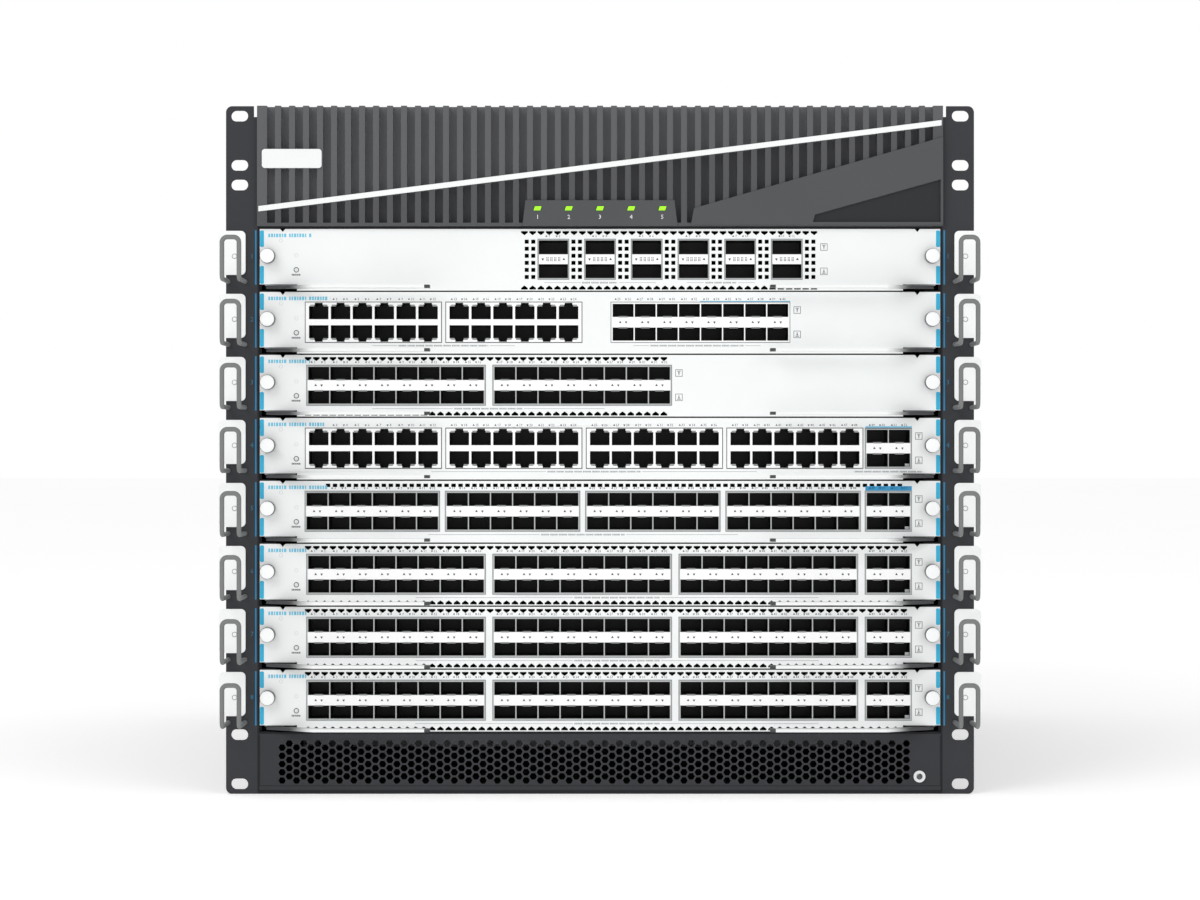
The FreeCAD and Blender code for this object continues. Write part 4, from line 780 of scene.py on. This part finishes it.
def dress_copper(shape, low, high, first, name_end):
    """Lamps beside the latch notches, an outline and numbers on a block of six pairs of jacks."""
    middle = (low.z + high.z) / 2
    y = low.y - PRINT_GAP
    for column in range(COPPER_COLUMNS):
        x = (low.x + high.x) / 2 + (column - (COPPER_COLUMNS - 1) / 2) * COPPER_PITCH
        for sign in (-1, 1):
            window_z = sorted((middle + sign * 10.2 * MM, middle + sign * 11.3 * MM))
            for side in (-1, 1):
                window_x = sorted((x + side * 2.9 * MM, x + side * 5.6 * MM))
                index = TAB if (column + (side > 0)) % 2 else GREY
                add_patch(shape, window_x, window_z, y, index, 0, 0.1 * MM)
        if x > name_end:
            add_port_numbers(shape, x, high.z + NUMBER_RISE, first + 2 * column)
    add_block_outline(shape, low, high, 0.5 * MM, 0.4 * MM, DARK)
    return first + 2 * COPPER_COLUMNS


def add_icon(shape, x, z, y, up):
    """A square key symbol: an arrow to a line at the upper or lower edge."""
    half = 2.3 * MM
    add_outline(shape, around(x, half), around(z, half), y, 0.3 * MM, DARK)
    sign = 1 if up else -1
    bar = sorted((z + sign * 1.0 * MM, z + sign * 1.4 * MM))
    add_patch(shape, around(x, 1.2 * MM), bar, y, DARK)
    stem = sorted((z - sign * 1.4 * MM, z + sign * 0.3 * MM))
    add_patch(shape, around(x, 0.2 * MM), stem, y, DARK)
    add_triangle(shape, x, z + sign * 0.3 * MM, y, 0.7 * MM, DARK, up)


chip_black = powder_coat("chip_black", "1c1d1f", 0.4, 0.2 * MM, 0.005 * MM)


def add_chips(shape, low, high, top):
    """Rows of black chips and round metal capacitors on a circuit board."""
    wide = high.x - low.x
    deep = high.y - low.y
    chip_tall = 1.4 * MM
    can_tall = 7 * MM
    can_count = 14
    for row, depth in enumerate((0.13, 0.22, 0.66, 0.76)):
        for column in range(9):
            side = (9 + 4 * ((row * 3 + column * 5) % 4) / 3) * MM
            x = low.x + wide * (column + 0.7) / 9.4
            y = low.y + deep * depth + 3 * MM * math.sin(row + 2 * column)
            place = Matrix.Translation((x, y, top + chip_tall / 2))
            chip = bmesh.ops.create_cube(
                shape, size=1, matrix=place @ Matrix.Diagonal((side, side, chip_tall, 1))
            )
            colour_in(chip, 0)
    for column in range(can_count):
        x = low.x + wide * (column + 0.5) / can_count
        can = bmesh.ops.create_cone(
            shape,
            cap_ends=True,
            segments=20,
            radius1=3.2 * MM,
            radius2=3.0 * MM,
            depth=can_tall,
            matrix=Matrix.Translation((x, low.y + deep * 0.87, top + can_tall / 2)),
        )
        colour_in(can, 1)


CARD_PAINT, BOARD, CAVITY, CAGE, SINK, LENS, JACK = range(7)
CARD_MATERIALS = [
    card_paint,
    board_green,
    port_dark.material,
    cage_metal.material,
    sink_metal.material,
    lamp_lens.material,
    band_white,
]
SOLID_MATERIALS = {
    "plate": CARD_PAINT,
    "board": BOARD,
    "connector": CAVITY,
    "sink": SINK,
    "bracket": CAGE,
    "ports": CAVITY,
}
CHIP_MATERIALS = [chip_black, sink_metal.material]

for slot in slots:
    middle = card_middle[slot]
    body = "card_%d" % slot
    card = merged_copy("line_card_%d" % slot)
    chips = bmesh.new()
    blocks = []
    for faces, low, high in islands_of(card):
        kind = solid_kind(low, high)
        for face in faces:
            face.material_index = SOLID_MATERIALS[kind]
        if kind == "ports":
            blocks.append((low, high))
            front_index = JACK if slot in COPPER_CARDS and low.x < 100 * MM else CAGE
            for face in faces:
                if face.calc_center_median().y < low.y + 0.01 * MM:
                    face.material_index = front_index
        if kind == "board":
            add_chips(chips, low, high, high.z)
        if kind == "plate":
            lamp_x = low.x + 23.6 * MM
            lamp_z = middle - 6.5 * MM
            for face in faces:
                place = face.calc_center_median()
                if math.hypot(place.x - lamp_x, place.z - lamp_z) < 1.25 * MM:
                    face.material_index = LENS
    join_flat_faces(card)
    card_piece = new_piece(body + "_build", card, CARD_MATERIALS, body)
    add_bevel(card_piece, 0.15 * MM, 1, 50)
    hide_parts("line_card_%d" % slot)
    new_piece(body + "_chips", chips, CHIP_MATERIALS, body, 40)

    # the print on the faceplate
    blocks.sort(key=lambda corners: corners[0].x)
    prints = bmesh.new()
    name_length = NAME_LENGTHS[slot] * MM
    name_end = NAME_START + name_length
    port = 1
    for low, high in blocks:
        wide = high.x - low.x
        if slot in COPPER_CARDS and 86 * MM < wide < 90 * MM:
            port = dress_copper(prints, low, high, port, name_end)
        else:
            port = dress_fibre(prints, low, high, port, name_end, wide < 22 * MM)
    low, high = blocks[-1]
    icon_x = high.x + (14.1 if slot == 1 else 4.9) * MM
    add_icon(prints, icon_x, middle + 8.2 * MM, face_y, True)
    add_icon(prints, icon_x, middle - 7.5 * MM, face_y, False)
    for sign in (-1, 1):
        edge = sorted((sign * 219.4 * MM, sign * 216.8 * MM))
        add_patch(prints, edge, (middle + 8.2 * MM, middle + 18.9 * MM), face_y, CYAN, 0.8 * MM)
        add_patch(prints, edge, (middle - 15.6 * MM, middle - 4 * MM), face_y, CYAN, 0.8 * MM)
    add_marks(prints, NAME_START, middle + 15.7 * MM, face_y, name_length, 2.3 * MM, NAME)
    add_ring(prints, lamp_x, lamp_z, face_y, 1.75 * MM, 1.25 * MM, DARK)
    add_marks(prints, lamp_x - 3 * MM, lamp_z - 3.2 * MM, face_y, 6 * MM, 1.1 * MM, DARK)
    # two faint grey rings of painted shade stand for small flush studs in the faceplate
    for mark_x, mark_z in ((-205.8, 12.4), (-195.9, 2.8)):
        add_ring(prints, mark_x * MM, middle + mark_z * MM, face_y, 1.2 * MM, 1.0 * MM, STUD_SHADE)
    legend_z = blocks[0][0].z - 2.3 * MM
    for text_middle, text_long, line_long in LEGENDS[slot]:
        for sign in (-1, 1):
            near = (text_middle + sign * (text_long / 2 + 1)) * MM
            far = (text_middle + sign * line_long / 2) * MM
            add_patch(prints, sorted((near, far)), around(legend_z, 0.12 * MM), face_y, GREY)
        text_start = (text_middle - text_long / 2) * MM
        add_marks(prints, text_start, legend_z, face_y, text_long * MM, 1.0 * MM, GREY)
    if slot in STRIPS:
        strip_x, under, over, index = STRIPS[slot]
        across = (low.x if strip_x is None else strip_x * MM, high.x + 0.4 * MM)
        add_patch(prints, across, (high.z + under * MM, high.z + over * MM), face_y, index)
    new_piece(body + "_print", prints, PRINTS, body)

# ---- ejector levers ----
# A flat bar runs along each lower corner of a faceplate and bends in to its pivot. It is white,
# with painted shade that deepens towards the root where it turns back, and a dark end.


def lever_paint(name, sign, tip_x, root_x):
    """White paint with painted shade that deepens smoothly towards the pivot, and a dark end cap."""
    paint = Paint(name, rgb("f0f1f1"), 0.4)
    along = paint.node("ShaderNodeSeparateXYZ", {}, paint.place, output="X")
    distance = (along - root_x) * -sign
    # painted shade: the white darkens smoothly over the last centimetres before the pivot, where the
    # bar turns back
    root_shade = paint.node(
        "ShaderNodeMapRange",
        {"interpolation_type": "SMOOTHSTEP"},
        distance,
        From_Min=16 * MM,
        From_Max=34 * MM,
        To_Min=1.0,
        To_Max=0.0,
    )
    cap_length = 3.5 * MM
    cap = distance.above(abs(tip_x - root_x) - cap_length)
    shade_and_cap = root_shade.math("MAXIMUM", root_shade, cap)
    paint.tint(shade_and_cap, rgb("f0f1f1"), rgb("3c3d40"))
    paint.bump(paint.noise(0.35 * MM), 0.012 * MM)
    return paint.material


for side, sign in (("left", -1), ("right", 1)):
    low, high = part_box("lever_%s_1" % side)
    tip_x = high.x if sign < 0 else low.x
    root_x = low.x if sign < 0 else high.x
    coat = lever_paint("lever_paint_" + side, sign, tip_x, root_x)
    for slot in slots:
        name = "lever_%s_%d" % (side, slot)
        bar = merged_copy(name)
        join_flat_faces(bar)
        bar_piece = new_piece(name + "_bar", bar, [coat], name)
        add_bevel(bar_piece, 0.3 * MM)
        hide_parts(name)

# ---- thumbscrews ----
# A captive screw near each end of every faceplate. It has a domed white cap, a finely knurled
# rim in dark grey that also serves as painted shade on the knob's side, and a steel shank.

knurl_white = powder_coat("knurl_white", "fafbfb", 0.35, 0.3 * MM, 0.006 * MM)
# the rim's grey is partly its own paint and partly painted shade for the knob's shaded side
rim_grey_and_side_shade = powder_coat("rim_grey_and_side_shade", "626465", 0.4, 0.3 * MM, 0.006 * MM)
CAP, SHANK, RIM = range(3)
KNOB_MATERIALS = [knurl_white, steel.material, rim_grey_and_side_shade]
KNURL_STEPS = 48
KNURL_DIP = 0.965
for side in ("left", "right"):
    for slot in slots:
        name = "thumbscrew_%s_%d" % (side, slot)
        low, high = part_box(name)
        centre = (low + high) / 2
        radius = (high.x - low.x) / 2
        shank_end = high.y - low.y - 0.01 * MM
        screw = bmesh.new()
        profile = [
            (0.0, 0.0),
            (radius * 0.62, 0.0),
            (radius * 0.84, 0.12 * MM),
            (radius * 0.92, 0.45 * MM),
            (radius * 0.93, 0.8 * MM),
            (radius * 0.99, 1.1 * MM),
            (radius * 0.99, 5.9 * MM),
            (radius * 0.94, 6.4 * MM),
            (radius * 0.76, 6.5 * MM),
            (radius * 0.76, 7.4 * MM),
            (2.0 * MM, 7.44 * MM),
            (2.0 * MM, high.y - low.y - 0.6 * MM),
            (1.5 * MM, shank_end),
            (0.0, shank_end),
        ]
        corners = [screw.verts.new((across, along, 0)) for across, along in profile]
        for first, second in zip(corners, corners[1:]):
            screw.edges.new((first, second))
        bmesh.ops.spin(
            screw,
            geom=screw.verts[:] + screw.edges[:],
            axis=(0, 1, 0),
            cent=(0, 0, 0),
            steps=KNURL_STEPS,
            angle=2 * math.pi,
            use_merge=True,
        )
        bmesh.ops.remove_doubles(screw, verts=screw.verts, dist=0.001 * MM)
        bmesh.ops.recalc_face_normals(screw, faces=screw.faces)
        for vert in screw.verts:
            if 1.0 * MM < vert.co.y < 6.2 * MM and math.hypot(vert.co.x, vert.co.z) > radius * 0.9:
                turn = round(math.atan2(vert.co.z, vert.co.x) / (2 * math.pi) * KNURL_STEPS)
                if turn % 2:
                    vert.co.x *= KNURL_DIP
                    vert.co.z *= KNURL_DIP
        for face in screw.faces:
            depth = face.calc_center_median().y
            if depth > 7.4 * MM:
                face.material_index = SHANK
            else:
                face.material_index = RIM if depth > 0.6 * MM else CAP
        bmesh.ops.translate(screw, vec=(centre.x, low.y, centre.z), verts=screw.verts)
        screw_piece = new_piece(name + "_knob", screw, KNOB_MATERIALS, name, 35)
        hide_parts(name)

# ---- rear modules ----
# Plated steel cases and a fan tray with two rotors pull out of the back. What stands out behind
# the shell, such as their handles, is black.


def plated_steel(name):
    """Zinc-plated sheet: fine lines along X and slow cloudy spots."""
    sheet = Paint(name, rgb("a7aaad"), 0.38, Metallic=0.9)
    lines = sheet.noise(0.5 * MM, 2.0, (0.02, 1, 1))
    cloud = sheet.noise(25 * MM, 3.0)
    sheet.tint(cloud, rgb("9b9ea1"), rgb("b3b6b9"))
    sheet.feed("Roughness", 0.3 + lines * 0.16)
    sheet.bump(lines, 0.006 * MM)
    return sheet.material


plated = plated_steel("plated_steel")
handle_black = powder_coat("handle_black", "1c1d1f", 0.45)
rotor_plastic = powder_coat("rotor_plastic", "18191b", 0.4, 0.5 * MM)
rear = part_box("chassis_frame")[1].y
module_names = ["fan_tray"]
module_names += ["power_supply_left", "power_supply_right"]
module_names += ["control_module_left", "control_module_right"]
for name in module_names:
    module = merged_copy(name)
    for faces, low, high in islands_of(module):
        is_handle = high.y > rear + 4 * MM and low.y > rear - 5 * MM
        for face in faces:
            face.material_index = 1 if is_handle else 0
    join_flat_faces(module)
    module_piece = new_piece(name + "_case", module, [plated, handle_black], name, 35)
    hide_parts(name)
for name in ("fan_rotor_left", "fan_rotor_right"):
    rotor = merged_copy(name)
    rotor_piece = new_piece(name + "_blades", rotor, [rotor_plastic], name, 35)
    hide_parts(name)

# ---- studio ----
# A pale floor, soft light from all round with two large lamps in front, and a level camera
# straight before the front.

ear_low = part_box("rack_ear_left")[0]
ear_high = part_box("rack_ear_right")[1]
ear_span = ear_high.x - ear_low.x
view_width = ear_span * 1.6043
view_distance = 1.8
sensor_width = 36
camera_data = bpy.data.cameras.new("camera")
camera_data.sensor_width = sensor_width
camera_data.lens = sensor_width * view_distance / view_width
camera = bpy.data.objects.new("camera", camera_data)
camera.location = (0, front - view_distance, ear_high.z / 2)
camera.rotation_euler = (math.pi / 2, 0, 0)
bpy.context.scene.collection.objects.link(camera)
bpy.context.scene.camera = camera

white = (1, 1, 1, 1)
floor_paint = Paint("pale_floor", white, 0.9, Specular_IOR_Level=0.0, Emission_Strength=0.32)
floor_paint.shader.inputs["Emission Color"].default_value = white
floor_paint.tint(floor_paint.noise(2.0), (0.97, 0.97, 0.97, 1), white)
floor_shape = bmesh.new()
bmesh.ops.create_grid(floor_shape, x_segments=1, y_segments=1, size=20)
floor_mesh = bpy.data.meshes.new("floor")
floor_shape.to_mesh(floor_mesh)
floor_shape.free()
floor_mesh.materials.append(floor_paint.material)
floor = bpy.data.objects.new("floor", floor_mesh)
bpy.context.scene.collection.objects.link(floor)

world = bpy.data.worlds.new("studio_world")
bpy.context.scene.world = world
world.use_nodes = True
tree = world.node_tree
tree.nodes.clear()
output = tree.nodes.new("ShaderNodeOutputWorld")
mixer = tree.nodes.new("ShaderNodeMixShader")
path = tree.nodes.new("ShaderNodeLightPath")
dim = tree.nodes.new("ShaderNodeBackground")
bright = tree.nodes.new("ShaderNodeBackground")
for background, strength in ((dim, 0.66), (bright, 1.0)):
    background.inputs["Color"].default_value = white
    background.inputs["Strength"].default_value = strength
tree.links.new(path.outputs["Is Camera Ray"], mixer.inputs[0])
tree.links.new(dim.outputs[0], mixer.inputs[1])
tree.links.new(bright.outputs[0], mixer.inputs[2])
tree.links.new(mixer.outputs[0], output.inputs["Surface"])


def add_lamp(name, place, aim, power, size):
    data = bpy.data.lights.new(name, "AREA")
    data.energy = power
    data.size = size
    lamp = bpy.data.objects.new(name, data)
    lamp.location = place
    lamp.rotation_euler = (Vector(aim) - Vector(place)).to_track_quat("-Z", "Y").to_euler()
    bpy.context.scene.collection.objects.link(lamp)


add_lamp("key_lamp", (-1.6, -2.4, 2.2), (0, 0, 0.2), 24, 1.6)
add_lamp("fill_lamp", (1.8, -2.4, 1.2), (0, 0, 0.2), 10, 1.6)
bpy.context.scene.view_settings.view_transform = "Standard"
